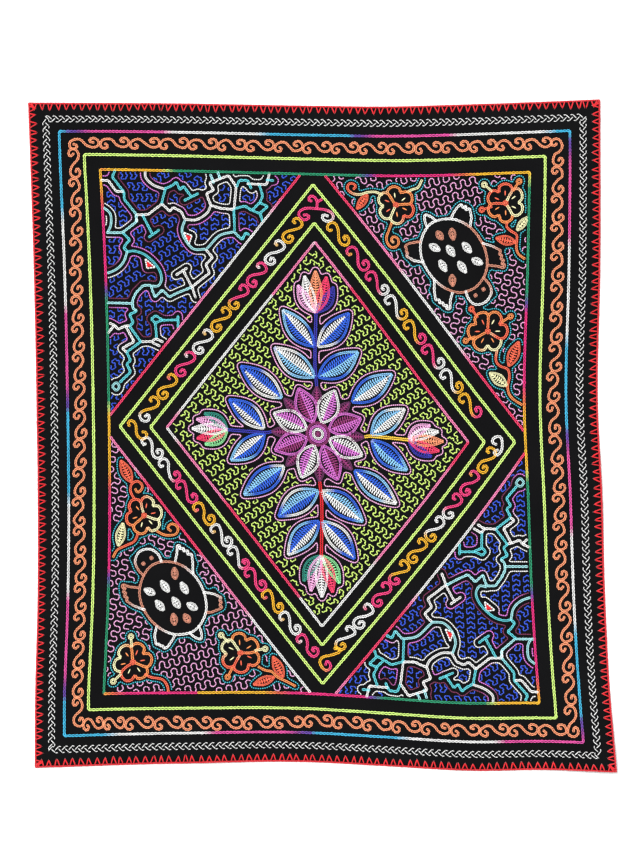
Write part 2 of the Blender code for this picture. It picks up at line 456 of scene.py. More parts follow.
# The radius that a strand's last ring is drawn in to, before its corners are merged into a tip
TIP_RADIUS = 0.02


def draw_on(shape, edges, station, onward):
    """Extrude a ring of edges from one station to the next, and give its new edges and corners."""
    geometry = bmesh.ops.extrude_edge_only(shape, edges=edges)["geom"]
    corners = [item for item in geometry if isinstance(item, bmesh.types.BMVert)]
    ring = [item for item in geometry if isinstance(item, bmesh.types.BMEdge)]
    centre = Vector((station.along, station.side, station.rise))
    growth = max(onward.radius, TIP_RADIUS) / station.radius
    about = Matrix.Translation(-centre)
    bmesh.ops.scale(shape, vec=(1.0, growth, growth), space=about, verts=corners)
    step = Vector((onward.along, onward.side, onward.rise)) - centre
    bmesh.ops.translate(shape, vec=step, verts=corners)
    return ring, corners


def add_strand(shape, stations, depth, sides):
    """A rounded strand through the stations, drawn to a point at both ends."""
    first = stations[1]
    upright = Matrix.Rotation(math.pi / 2, 4, "Y") @ Matrix.Rotation(math.pi / sides, 4, "Z")
    place = Matrix.Translation((first.along, first.side, first.rise))
    stretch = Matrix.Diagonal((1.0, 1.0, depth, 1.0))
    circle = bmesh.ops.create_circle(
        shape, segments=sides, radius=first.radius, matrix=place @ stretch @ upright)
    start = list({edge for corner in circle["verts"] for edge in corner.link_edges})
    ring = start
    for station, onward in zip(stations[1:], stations[2:]):
        ring, corners = draw_on(shape, ring, station, onward)
    far = stations[-1]
    bmesh.ops.pointmerge(shape, verts=corners, merge_co=(far.along, far.side, far.rise))
    near = stations[0]
    _ring, corners = draw_on(shape, start, first, near)
    bmesh.ops.pointmerge(shape, verts=corners, merge_co=(near.along, near.side, near.rise))


def map_strand(shape, arms, depth):
    """A UV map named strand: along each strand, and around it, one band of the map a strand."""
    layer = shape.loops.layers.uv.new("strand")
    for face in shape.faces:
        middle = face.calc_center_median()
        band = 0 if middle.y >= 0 else len(arms) - 1
        stations = arms[band]
        places = [station.along for station in stations]
        around = []
        for loop in face.loops:
            spot = loop.vert.co
            side = np.interp(spot.x, places, [station.side for station in stations])
            rise = np.interp(spot.x, places, [station.rise for station in stations])
            out = Vector((spot.y - side, (spot.z - rise) / depth))
            tip = out.length < 1e-4
            around.append(None if tip else math.atan2(out.y, out.x) / math.tau % 1.0)
        known = [turn for turn in around if turn is not None]
        if max(known) - min(known) > 0.5:
            around = [turn + 1 if turn is not None and turn < 0.5 else turn for turn in around]
            known = [turn for turn in around if turn is not None]
        for loop, turn in zip(face.loops, around):
            share = (loop.vert.co.x - places[0]) / (places[-1] - places[0])
            turn = sum(known) / len(known) if turn is None else turn
            loop[layer].uv = (share, (band + turn * 0.8) / len(arms))


def finished_mesh(name, shape, smooth=True):
    """The mesh of a shape, which is then freed."""
    for face in shape.faces:
        face.smooth = smooth
    mesh = bpy.data.meshes.new(name)
    shape.to_mesh(mesh)
    shape.free()
    return mesh


def put_in_scene(name, data):
    """A new object of the scene that holds a mesh, a light or a camera."""
    item = bpy.data.objects.new(name, data)
    bpy.context.scene.collection.objects.link(item)
    return item


def make_shape(name, arms, depth, sides=4):
    """A stitch of unit length, width and height, as an object that is laid many times."""
    shape = bmesh.new()
    for stations in arms:
        add_strand(shape, stations, depth, sides)
    bmesh.ops.recalc_face_normals(shape, faces=shape.faces)
    map_strand(shape, arms, depth)
    return bpy.data.objects.new(name, finished_mesh(name, shape))


def other_side(arm):
    """The same arm on the other side of its link."""
    return tuple(station._replace(side=-station.side) for station in arm)


CHAIN = make_shape("chain_link", (CHAIN_ARM, other_side(CHAIN_ARM)), CHAIN_DEPTH)
FILL = make_shape("fill_link", (FILL_ARM, other_side(FILL_ARM)), CHAIN_DEPTH)
SINGLE = make_shape("straight_stitch", (STRAIGHT,), 1.0)


def named_vector(tree, name):
    """The output of a node that reads a named attribute of vectors."""
    node = tree.nodes.new("GeometryNodeInputNamedAttribute")
    node.data_type = "FLOAT_VECTOR"
    node.inputs["Name"].default_value = name
    return node.outputs["Attribute"]


def maths(tree, operation, *values, kind="ShaderNodeMath"):
    """The output of a maths node on linked or plain values."""
    node = tree.nodes.new(kind)
    node.operation = operation
    for socket, value in zip(node.inputs, values):
        if isinstance(value, bpy.types.NodeSocket):
            tree.links.new(value, socket)
        else:
            socket.default_value = value
    return node.outputs[0]


def vector_maths(tree, operation, *values):
    """The output of a vector maths node on linked or plain values."""
    return maths(tree, operation, *values, kind="ShaderNodeVectorMath")


# Each stitch has a square tile of the map, and uses this share of its side, inside this margin
TILE_SHARE = 0.86
TILE_MARGIN = 0.07


def laying_nodes(shape, tiles):
    """Geometry nodes that lay a stitch at every point, and give each its own tile of a map."""
    tree = bpy.data.node_groups.new("lay_stitches", "GeometryNodeTree")
    tree.interface.new_socket("Geometry", in_out="INPUT", socket_type="NodeSocketGeometry")
    tree.interface.new_socket("Geometry", in_out="OUTPUT", socket_type="NodeSocketGeometry")
    given = tree.nodes.new("NodeGroupInput")
    result = tree.nodes.new("NodeGroupOutput")
    stitch = tree.nodes.new("GeometryNodeObjectInfo")
    stitch.inputs["Object"].default_value = shape
    lay = tree.nodes.new("GeometryNodeInstanceOnPoints")
    rotation = tree.nodes.new("FunctionNodeEulerToRotation")
    realize = tree.nodes.new("GeometryNodeRealizeInstances")
    store = tree.nodes.new("GeometryNodeStoreNamedAttribute")
    store.data_type = "FLOAT2"
    store.domain = "CORNER"
    store.inputs["Name"].default_value = "OFBake"
    links = tree.links
    links.new(given.outputs["Geometry"], lay.inputs["Points"])
    links.new(stitch.outputs["Geometry"], lay.inputs["Instance"])
    links.new(named_vector(tree, "turn"), rotation.inputs["Euler"])
    links.new(rotation.outputs["Rotation"], lay.inputs["Rotation"])
    links.new(named_vector(tree, "size"), lay.inputs["Scale"])
    links.new(lay.outputs["Instances"], realize.inputs["Geometry"])
    links.new(realize.outputs["Geometry"], store.inputs["Geometry"])
    strand = named_vector(tree, "strand")
    tile = named_vector(tree, "tile")
    inside = vector_maths(tree, "MULTIPLY_ADD", strand, (TILE_SHARE, TILE_SHARE, 0.0),
                          (TILE_MARGIN, TILE_MARGIN, 0.0))
    on_tile = vector_maths(tree, "ADD", inside, tile)
    share = vector_maths(tree, "MULTIPLY", on_tile, (1 / tiles, 1 / tiles, 0.0))
    links.new(share, store.inputs["Value"])
    links.new(store.outputs["Geometry"], result.inputs["Geometry"])
    return tree


def laid(name, places, attributes, shape, tiles):
    """A mesh of one stitch at every place, made real from geometry nodes."""
    points = bpy.data.meshes.new(name)
    points.vertices.add(len(places))
    points.vertices.foreach_set("co", places.ravel())
    for label, kind, values in attributes:
        layer = points.attributes.new(label, kind, "POINT")
        layer.data.foreach_set("color" if kind == "FLOAT_COLOR" else "vector", values.ravel())
    holder = put_in_scene(name, points)
    tree = laying_nodes(shape, tiles)
    modifier = holder.modifiers.new("lay", "NODES")
    modifier.node_group = tree
    bpy.context.view_layer.update()
    depsgraph = bpy.context.evaluated_depsgraph_get()
    mesh = bpy.data.meshes.new_from_object(
        holder.evaluated_get(depsgraph), preserve_all_data_layers=True, depsgraph=depsgraph)
    bpy.data.objects.remove(holder, do_unlink=True)
    bpy.data.meshes.remove(points)
    bpy.data.node_groups.remove(tree)
    for label in ("turn", "size", "tile"):
        layer = mesh.attributes.get(label)
        if layer is not None:
            mesh.attributes.remove(layer)
    mesh.name = name
    return put_in_scene(name, mesh)


# How uneven the stitches are: their heading in radians, and the rest as shares
UNEVEN_HEADING = 0.035
UNEVEN_WIDTH = 0.05
UNEVEN_HEIGHT = 0.06
UNEVEN_LENGTH = 0.02
UNEVEN_SHADE = 0.05


def sew(name, tables, shape, height, material, rise=CLOTH_THICKNESS - SINK, unevenness=1.0):
    """Lay the stitches of some tables on the cloth as one piece, each a little uneven."""
    table = np.vstack(tables)
    count = len(table)

    def uneven(spread):
        return chance.normal(0, spread, count)
    starts = sewn(table[:, 0:2])
    ends = sewn(table[:, 2:4])
    starts[:, 2] += rise / 1000
    ends[:, 2] += rise / 1000
    reach = ends - starts
    length = np.linalg.norm(reach, axis=1)
    heading = np.arctan2(reach[:, 1], reach[:, 0]) + uneven(UNEVEN_HEADING * unevenness)
    turn = np.column_stack((np.zeros(count), -np.arcsin(reach[:, 2] / length), heading))
    width = table[:, 4] / 1000 * (1 + uneven(UNEVEN_WIDTH * unevenness))
    tall = height / 1000 * (1 + uneven(UNEVEN_HEIGHT * unevenness))
    longer = length * (1 + uneven(UNEVEN_LENGTH * unevenness))
    size = np.column_stack((longer, width, tall))
    shade = 1 + uneven(UNEVEN_SHADE)
    colours = np.column_stack((np.clip(table[:, 5:8] * shade[:, None], 0, 1), np.ones(count)))
    tiles = math.ceil(math.sqrt(count))
    index = np.arange(count)
    tile = np.column_stack((index % tiles, index // tiles, np.zeros(count))).astype(float)
    attributes = (
        ("turn", "FLOAT_VECTOR", turn), ("size", "FLOAT_VECTOR", size),
        ("tile", "FLOAT_VECTOR", tile), ("dye", "FLOAT_COLOR", colours),
    )
    piece = laid(name, starts, attributes, shape, tiles)
    piece.data.materials.clear()
    piece.data.materials.append(material)
    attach(piece, "root")
    return piece


# Finishes


def new_group(name, inputs, outputs):
    """A shader node group with named float or vector sockets, and its input and output nodes."""
    group = bpy.data.node_groups.new(name, "ShaderNodeTree")
    for label, kind, value in inputs:
        socket = group.interface.new_socket(label, in_out="INPUT", socket_type=kind)
        if value is not None:
            socket.default_value = value
    for label, kind in outputs:
        group.interface.new_socket(label, in_out="OUTPUT", socket_type=kind)
    return group, group.nodes.new("NodeGroupInput"), group.nodes.new("NodeGroupOutput")


def make_ply_twist():
    """Two plies twisted along a strand: a height for the bump, and a mask of the groove between the
    plies that the yarn uses to paint shade into its colour.
    """
    group, given, result = new_group(
        "ply_twist",
        (("Strand", "NodeSocketVector", None), ("Turns", "NodeSocketFloat", 2.5)),
        (("Height", "NodeSocketFloat"), ("Groove", "NodeSocketFloat")))
    parts = group.nodes.new("ShaderNodeSeparateXYZ")
    group.links.new(given.outputs["Strand"], parts.inputs[0])
    along = maths(group, "MULTIPLY", parts.outputs["X"], given.outputs["Turns"])
    around = maths(group, "MULTIPLY", parts.outputs["Y"], 4.0)
    phase = maths(group, "MULTIPLY", maths(group, "ADD", along, around), math.tau)
    wave = maths(group, "MULTIPLY_ADD", maths(group, "SINE", phase), 0.5, 0.5)
    height = maths(group, "POWER", wave, 0.5)
    group.links.new(height, result.inputs["Height"])
    group.links.new(maths(group, "SUBTRACT", 1.0, height), result.inputs["Groove"])
    return group


def noise(tree, place, scale, detail):
    """The value of a noise at a place, with a linked scale."""
    node = tree.nodes.new("ShaderNodeTexNoise")
    node.inputs["Detail"].default_value = detail
    tree.links.new(place, node.inputs["Vector"])
    tree.links.new(scale, node.inputs["Scale"])
    return node.outputs["Fac"]


def make_fuzz():
    """Loose fibres and uneven dye: a fine height and a slow change of brightness."""
    group, given, result = new_group(
        "fibre_fuzz",
        (("Fineness", "NodeSocketFloat", 4000.0), ("Patch", "NodeSocketFloat", 160.0)),
        (("Height", "NodeSocketFloat"), ("Brightness", "NodeSocketFloat")))
    place = group.nodes.new("ShaderNodeTexCoord").outputs["Object"]
    fine = noise(group, place, given.outputs["Fineness"], detail=2.0)
    slow = noise(group, place, given.outputs["Patch"], detail=3.0)
    group.links.new(fine, result.inputs["Height"])
    group.links.new(slow, result.inputs["Brightness"])
    return group


def make_weave():
    """Plain weave on Object coordinates: threads over and under each other, as a height."""
    group, given, result = new_group(
        "plain_weave",
        (("Thread Pitch", "NodeSocketFloat", 0.00045),),
        (("Height", "NodeSocketFloat"),))
    place = group.nodes.new("ShaderNodeTexCoord").outputs["Object"]
    parts = group.nodes.new("ShaderNodeSeparateXYZ")
    group.links.new(place, parts.inputs[0])
    turns = maths(group, "DIVIDE", math.pi, given.outputs["Thread Pitch"])
    across = maths(group, "SINE", maths(group, "MULTIPLY", parts.outputs["X"], turns))
    along = maths(group, "SINE", maths(group, "MULTIPLY", parts.outputs["Y"], turns))
    crossing = maths(group, "MULTIPLY", across, along)
    over = maths(group, "ABSOLUTE", crossing)
    group.links.new(maths(group, "POWER", over, 0.6), result.inputs["Height"])
    return group


PLY_TWIST = make_ply_twist()
FUZZ = make_fuzz()
WEAVE = make_weave()


def use_group(material, group, **values):
    """A node group placed in a material with its own values."""
    node = material.node_tree.nodes.new("ShaderNodeGroup")
    node.node_tree = group
    for label, value in values.items():
        node.inputs[label.replace("_", " ")].default_value = value
    return node


def new_material(name, roughness, specular):
    """A material, its node tree and its shader."""
    material = bpy.data.materials.new(name)
    material.use_nodes = True
    shader = material.node_tree.nodes["Principled BSDF"]
    shader.inputs["Roughness"].default_value = roughness
    shader.inputs["Specular IOR Level"].default_value = specular
    return material, material.node_tree, shader


def bump(tree, height, distance, strength=1.0, normal=None):
    """The normal of a relief with a linked height, on top of another relief if there is one."""
    node = tree.nodes.new("ShaderNodeBump")
    node.inputs["Distance"].default_value = distance
    node.inputs["Strength"].default_value = strength
    tree.links.new(height, node.inputs["Height"])
    if normal is not None:
        tree.links.new(normal, node.inputs["Normal"])
    return node.outputs["Normal"]


def yarn_finish(name, turns, roughness, sheen, groove_shade_depth, relief):
    """Soft yarn: colour from the stitch, darkened in the grooves between its two twisted plies as
    painted shade, loose fibres, uneven dye, and a soft sheen.
    """
    material, tree, shader = new_material(name, roughness, specular=0.3)
    shader.inputs["Sheen Weight"].default_value = sheen
    shader.inputs["Sheen Roughness"].default_value = 0.5
    colour = tree.nodes.new("ShaderNodeAttribute")
    colour.attribute_name = "dye"
    strand = tree.nodes.new("ShaderNodeUVMap")
    strand.uv_map = "strand"
    twist = use_group(material, PLY_TWIST, Turns=turns)
    tree.links.new(strand.outputs["UV"], twist.inputs["Strand"])
    fuzz = use_group(material, FUZZ)
    # Painted shade: the yarn's colour is darkened in the grooves between the plies, by up to the
    # groove shade depth.
    painted_groove_shade = maths(tree, "MULTIPLY_ADD", twist.outputs["Groove"], -groove_shade_depth, 1.0)
    uneven = maths(tree, "MULTIPLY_ADD", fuzz.outputs["Brightness"], 0.3, 0.85)
    shade = maths(tree, "MULTIPLY", painted_groove_shade, uneven)
    tone = vector_maths(tree, "SCALE", colour.outputs["Color"])
    tree.links.new(shade, tone.node.inputs["Scale"])
    tree.links.new(tone, shader.inputs["Base Color"])
    height = maths(tree, "MULTIPLY_ADD", fuzz.outputs["Height"], 0.4, twist.outputs["Height"])
    tree.links.new(bump(tree, height, relief, strength=0.8), shader.inputs["Normal"])
    return material


# The cloth's own black, and a paler black that serves both for faded patches and as painted
# highlight on the crowns of the weave.
COTTON_BLACK = (0.0024, 0.0024, 0.0027, 1.0)
COTTON_FADED_AND_CROWN_HIGHLIGHT = (0.0070, 0.0070, 0.0077, 1.0)


def cotton_finish():
    """Black cotton in plain weave with soft puckers: lighter on the crowns of the threads and
    darker in the hollows between them as painted highlight and shade, and slightly faded in
    patches.
    """
    material, tree, shader = new_material("black_cotton", roughness=0.92, specular=0.05)
    weave = use_group(material, WEAVE)
    fuzz = use_group(material, FUZZ, Fineness=2600.0, Patch=14.0)
    mix = tree.nodes.new("ShaderNodeMix")
    mix.data_type = "RGBA"
    mix.inputs["A"].default_value = COTTON_BLACK
    mix.inputs["B"].default_value = COTTON_FADED_AND_CROWN_HIGHLIGHT
    # Painted highlight and shade: the weave's height mixes the black towards the paler colour on
    # the thread crowns and leaves the hollows between threads darkest. The slow noise adds real
    # fading in patches.
    tone = maths(tree, "MULTIPLY", weave.outputs["Height"], fuzz.outputs["Brightness"])
    tree.links.new(maths(tree, "MULTIPLY", tone, 1.5), mix.inputs["Factor"])
    tree.links.new(mix.outputs["Result"], shader.inputs["Base Color"])
    fibres = maths(tree, "MULTIPLY_ADD", fuzz.outputs["Height"], 0.5, weave.outputs["Height"])
    fine = bump(tree, fibres, 0.00012)
    puckers = bump(tree, fuzz.outputs["Brightness"], 0.004, strength=0.5, normal=fine)
    tree.links.new(puckers, shader.inputs["Normal"])
    return material


CHAIN_YARN = yarn_finish(
    "chain_yarn", turns=3.0, roughness=0.78, sheen=0.25, groove_shade_depth=0.28, relief=0.0001)
FINE_YARN = yarn_finish(
    "fine_yarn", turns=4.0, roughness=0.80, sheen=0.20, groove_shade_depth=0.25, relief=0.00007)
EDGE_YARN = yarn_finish(
    "red_yarn", turns=3.0, roughness=0.72, sheen=0.30, groove_shade_depth=0.30, relief=0.00012)


def sew_chains(name, tables, shape=CHAIN):
    """Lay chain stitches in the thick yarn."""
    return sew(name, tables, shape, CHAIN_HEIGHT, CHAIN_YARN)


def sew_fine(name, tables, unevenness=1.0):
    """Lay straight stitches in the fine yarn."""
    return sew(name, tables, SINGLE, THIN_HEIGHT, FINE_YARN, unevenness=unevenness)


def make_cloth():
    """The black cotton sheet, settled to its outline and lifts, with its thickness."""
    grid = bmesh.new()
    bmesh.ops.create_grid(grid, x_segments=100, y_segments=116, size=0.5)
    flat = np.array([(vert.co.x * CLOTH_WIDTH, vert.co.y * CLOTH_LENGTH) for vert in grid.verts])
    for vert, place in zip(grid.verts, settled(flat)):
        vert.co = place
    mesh = finished_mesh("black_cloth", grid)
    cloth = put_in_scene("black_cloth", mesh)
    thickness = cloth.modifiers.new("thickness", "SOLIDIFY")
    thickness.thickness = CLOTH_THICKNESS / 1000
    thickness.offset = 1.0
    mesh.materials.append(cotton_finish())
    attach(cloth, "root")
    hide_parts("cloth")
    return cloth


# The red edge: a yarn wound along the rim, and pointed stitches that reach in from it. The white
# feather row lies further in.

EDGE_OFFSET = 0.75
ROPE_PITCH = 1.7
ROPE_REACH = 1.9
ROPE_SLANT = 0.25
ROPE_WIDTH = 2.5
ROPE_HEIGHT = 1.9
ROPE_RISE = 0.15
POINT_PITCH = 8.2
POINT_DEPTH = 7.3
POINT_SPREAD = 2.8
POINT_WIDTH = 1.6
POINT_HEIGHT = 1.3
CORNER_ROOM = 5
CORNER_TIP = (5.5, 5.8)
CORNER_WIDTH = 1.5
FEATHER_INSET = 16.6
FEATHER_PITCH = 6.9
FEATHER_WIDTH = 0.95
FEATHER_HEIGHT = 1.0
Side = namedtuple("Side", "start heading inside length")


def sides_at(inset):
    """Each side of the rectangle, clockwise: its start, heading, inward direction and length."""
    corners = np.array(rectangle_line(inset), float)
    sides = []
    for start, end in zip(corners, np.roll(corners, -1, axis=0)):
        length = np.hypot(*(end - start))
        heading = (end - start) / length
        sides.append(Side(start, heading, np.array((heading[1], -heading[0])), length))
    return sides


def beside(side, along, inward):
    """A place beside a side: so far along it, and so far in from it."""
    return side.start + side.heading * along + side.inside * inward


def edge_rope():
    """Short slanting turns of yarn all the way round, over the rim."""
    rows = []
    for side in sides_at(-EDGE_OFFSET):
        count = round(side.length / ROPE_PITCH)
        for turn in range(count):
            middle = (turn + 0.5) * side.length / count
            start = beside(side, middle - ROPE_REACH, -ROPE_SLANT)
            end = beside(side, middle + ROPE_REACH, ROPE_SLANT)
            rows.append(single(start, end, ROPE_WIDTH, DARK_RED))
    return rows


def edge_points():
    """Pairs of strands from the rim that meet in a point further in, and a pair at each corner."""
    rows = []
    for side in sides_at(0.0):
        room = side.length - 2 * CORNER_ROOM
        count = round(room / POINT_PITCH)
        pitch = room / count
        for index in range(count + 1):
            along = CORNER_ROOM + index * pitch + chance.normal(0, 0.35)
            depth = POINT_DEPTH + chance.normal(0, 0.45)
            lean = chance.normal(0, 0.5)
            tip = beside(side, along + lean, depth)
            for spread in (-POINT_SPREAD, POINT_SPREAD):
                rim = beside(side, along + spread + chance.normal(0, 0.3), -EDGE_OFFSET)
                rows.append(single(rim, tip, POINT_WIDTH, RED))
        corner = beside(side, 0.0, -EDGE_OFFSET) - side.heading * EDGE_OFFSET
        inner = beside(side, *CORNER_TIP)
        for start in (corner, corner + side.heading * POINT_SPREAD):
            rows.append(single(start, inner, CORNER_WIDTH, RED))
    return rows


def feather_row():
    """Two facing rows of open hooks in white, which lean into each other."""
    rows = []
    for side in sides_at(FEATHER_INSET):
        pitch = side.length / round(side.length / FEATHER_PITCH)
        for index in range(round(side.length / pitch)):
            upper = index * pitch + chance.normal(0, 0.2)
            lower = upper + pitch / 2
            for along, hand in ((upper, -1), (lower, 1)):
                start = beside(side, along + 0.2, hand * 3.0)
                knee = beside(side, along + 3.0, hand * 3.4)
                rows.append(single(start, knee, FEATHER_WIDTH, WHITE))
                knee = beside(side, along + 2.5, hand * 3.5)
                tip = beside(side, along + 7.0, -hand * 0.9)
                rows.append(single(knee, tip, FEATHER_WIDTH, WHITE))
    return rows


# Border lines of chain stitch, and where on their banded yarns each length of them starts

YarnStart = namedtuple("YarnStart", "side along on_yarn onward", defaults=(1,))
OUTER_YARNS = (
    YarnStart(0, 0, 290), YarnStart(1, 0, 290), YarnStart(2, 0, 18), YarnStart(3, 0, 259),
)
SQUARE_YARNS = (
    YarnStart(0, 0, 220), YarnStart(0, 167, 0), YarnStart(1, 0, 284), YarnStart(2, 0, 243),
    YarnStart(2, 330, 240), YarnStart(2, 353, 127), YarnStart(3, 0, 299),
)
DIAMOND_YARNS = (
    YarnStart(0, 0, 46), YarnStart(1, 0, 80), YarnStart(2, 0, 274, -1), YarnStart(2, 296, 108),
    YarnStart(3, 0, 292),
)
INNER_YARNS = (
    YarnStart(0, 0, 105), YarnStart(0, 59, 0), YarnStart(0, 120, 10), YarnStart(1, 0, 60),
    YarnStart(1, 100, 105), YarnStart(2, 0, 235), YarnStart(2, 38, 294), YarnStart(2, 100, 30),
    YarnStart(3, 0, 150), YarnStart(3, 100, 182), YarnStart(3, 186, 100),
)
# How far inside the square line the outer diamond's sides end
CUT_MARGIN = 1.0


def banded_side(side, starts, yarn):
    """The colours along one side, where each length of yarn starts at its own place on it."""
    rows = [row for row in starts if row.side == side]
    colour_at = variegated(yarn)

    def colours(distance):
        along = np.asarray(distance)
        on_yarn = along * rows[0].onward + rows[0].on_yarn
        for row in rows[1:]:
            from_row = (along - row.along) * row.onward + row.on_yarn
            on_yarn = np.where(along >= row.along, from_row, on_yarn)
        return colour_at(on_yarn)
    return colours


def banded_sides(sides, starts, yarn):
    """Chain stitches along some sides in a banded yarn."""
    return [run(side, CHAIN_PITCH, CHAIN_WIDTH, banded_side(index, starts, yarn))
            for index, side in enumerate(sides)]


def sides_between(corners):
    """The sides of a ring of corners, each as its start and end."""
    return list(zip(corners, corners[1:] + corners[:1]))


def lime_ring(corners, width):
    """Chain stitches round a ring of corners in lime yarn."""
    return [run(corners, CHAIN_PITCH, width, LIME, closed=True)]


def cut_diamond_sides(half_size, margin):
    """The four sides of a diamond whose corners the square cuts off."""
    x, y = half_size
    side_x = SQUARE[0] - margin
    side_y = SQUARE[1] - margin
    cut_y = y * (1 - side_x / x)
    cut_x = x * (1 - side_y / y)
    return [
        ((cut_x, side_y), (side_x, cut_y)), ((side_x, -cut_y), (cut_x, -side_y)),
        ((-cut_x, -side_y), (-side_x, -cut_y)), ((-side_x, cut_y), (-cut_x, side_y)),
    ]


def make_border_lines():
    """The lines of thick chain stitch, each in the place of its plain band in the solids."""
    outer = sides_between(rectangle_line(OUTER_LINE_INSET))
    square = sides_between(rectangle_line(SQUARE_LINE_INSET))
    inner = sides_between(diamond_line(INNER_DIAMOND))
    cut = cut_diamond_sides(OUTER_DIAMOND, CUT_MARGIN)
    lines = (
        ("outer_chain", "outer_line", "sky_yarn", banded_sides(outer, OUTER_YARNS, SKY_YARN)),
        ("lime_chain", "lime_line", "lime_yarn",
         lime_ring(rectangle_line(LIME_LINE_INSET), LIME_WIDTH)),
        ("square_chain", "square_line", "amber_yarn",
         banded_sides(square, SQUARE_YARNS, RAINBOW_YARN)),
        ("diamond_lime_chain_outer", "diamond_lime_outer", "lime_yarn",
         lime_ring(diamond_line(LIME_OUTER_DIAMOND), DIAMOND_LIME_WIDTH)),
        ("diamond_lime_chain_inner", "diamond_lime_inner", "lime_yarn",
         lime_ring(diamond_line(LIME_INNER_DIAMOND), DIAMOND_LIME_WIDTH)),
        ("diamond_rose_chain_inner", "diamond_inner_line", "rose_yarn",
         banded_sides(inner, INNER_YARNS, ROSE_YARN)),
        ("diamond_rose_chain_outer", "diamond_outer_line", "rose_yarn",
         banded_sides(cut, DIAMOND_YARNS, ROSE_YARN)),
    )
    for name, node, slot, tables in lines:
        line = sew_chains(name, tables)
        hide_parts(node)


# Scrolls: one S of the border row, from its left end, and one of the diamond row

BORDER_SCROLL = (
    (4.3, -0.7), (6.7, -1.8), (7.8, -3.8), (6.7, -6.3), (4.3, -7.2), (1.6, -6.1), (0.0, -3.0),
    (0.6, 1.2), (3.4, 4.3), (7.3, 5.9), (11.1, 4.9), (14.0, 1.6), (16.4, -2.3), (20.0, -5.0),
    (23.6, -5.5), (26.9, -3.9), (28.6, -0.8), (28.4, 2.8), (26.9, 5.7), (24.2, 7.2),
    (21.2, 6.3), (19.7, 3.8), (20.9, 1.6), (24.1, 1.8),
)
DIAMOND_SCROLL = (
    (5.5, -2.0), (7.0, -4.5), (3.8, -6.0), (0.4, -4.0), (0.2, 1.0), (2.6, 4.6), (7.5, 4.2),
    (12.5, 1.2), (17.5, -2.6), (22.5, -4.6), (27.0, -3.0), (28.2, 1.6), (26.0, 5.6),
    (21.5, 6.4), (19.3, 3.2), (21.5, 0.8), (24.0, 2.2),
)
# The length of a border scroll's chart, and the gap that is left before the next one
SCROLL_LENGTH = 29.2
SCROLL_GAP = 0.4
# Each border row: where it starts, its heading, how tall its scrolls are, and places along it.
# Each place is a scroll's number, how far along it starts and how far to the side it lies.
ScrollRow = namedtuple("ScrollRow", "x y heading tallness places")
SCROLL_ROWS = (
    ScrollRow(-258.2, 303.0, 0, 0.84, (
        (0, 0.9, 0), (3, 97.4, 0.8), (5, 158.3, 0.6), (9, 277.9, 0), (12, 364.8, 0.5),
        (16, 477.8, 1.2), (17, 507, 1.2))),
    ScrollRow(254.3, 310.2, -90, 0.86, (
        (0, 1.8, 0), (4, 117.9, 1.2), (7, 211.4, 2.2), (8, 241.0, 0.2), (9, 271.9, 0.2),
        (10, 305.8, 1.5), (11, 337.1, 2.2), (14, 425.6, 1.0), (15, 457.4, 3.5),
        (19, 588.2, 2.8), (20, 622, 2.8))),
    ScrollRow(-252.4, 297.2, -90, 0.84, (
        (0, -0.1, 0), (2, 62.8, -0.9), (4, 126.0, -3.4), (9, 277.7, -2.5), (12, 368.3, -4.8),
        (14, 429.0, -2.6), (18, 545.3, -1.2), (19, 574.6, -0.2), (20, 605, 0))),
    ScrollRow(-259.0, -303.3, 0, 0.92, (
        (0, 11.4, -1.6), (2, 54.9, -2.0), (5, 144.2, -3.7), (7, 207.8, -2.5), (8, 238.8, 0),
        (12, 360.0, -0.5), (16, 481.3, -0.6), (17, 511, -0.6))),
)


def wobbled(points, amount):
    """The points with a small unevenness, as a hand-drawn line has."""
    chart = np.asarray(points, float)
    return chart + chance.normal(0, amount, chart.shape)


def border_scrolls():
    """The rows of scrolls in peach yarn round the border."""
    tables = []
    for row in SCROLL_ROWS:
        numbers, alongs, sides = np.array(row.places, float).T
        starts = np.interp(np.arange(numbers[-1] + 1), numbers, alongs)
        for index, (start, end) in enumerate(zip(starts, starts[1:])):
            size = ((end - start - SCROLL_GAP) / SCROLL_LENGTH, row.tallness)
            chart = wobbled(BORDER_SCROLL, 0.3) * size + (start, np.interp(index, numbers, sides))
            line = flowing(turned(chart, row.heading, (row.x, row.y)))
            tables.append(run(line, CURVE_PITCH, BORDER_SCROLL_WIDTH, PEACH, sharp=False))
    return tables


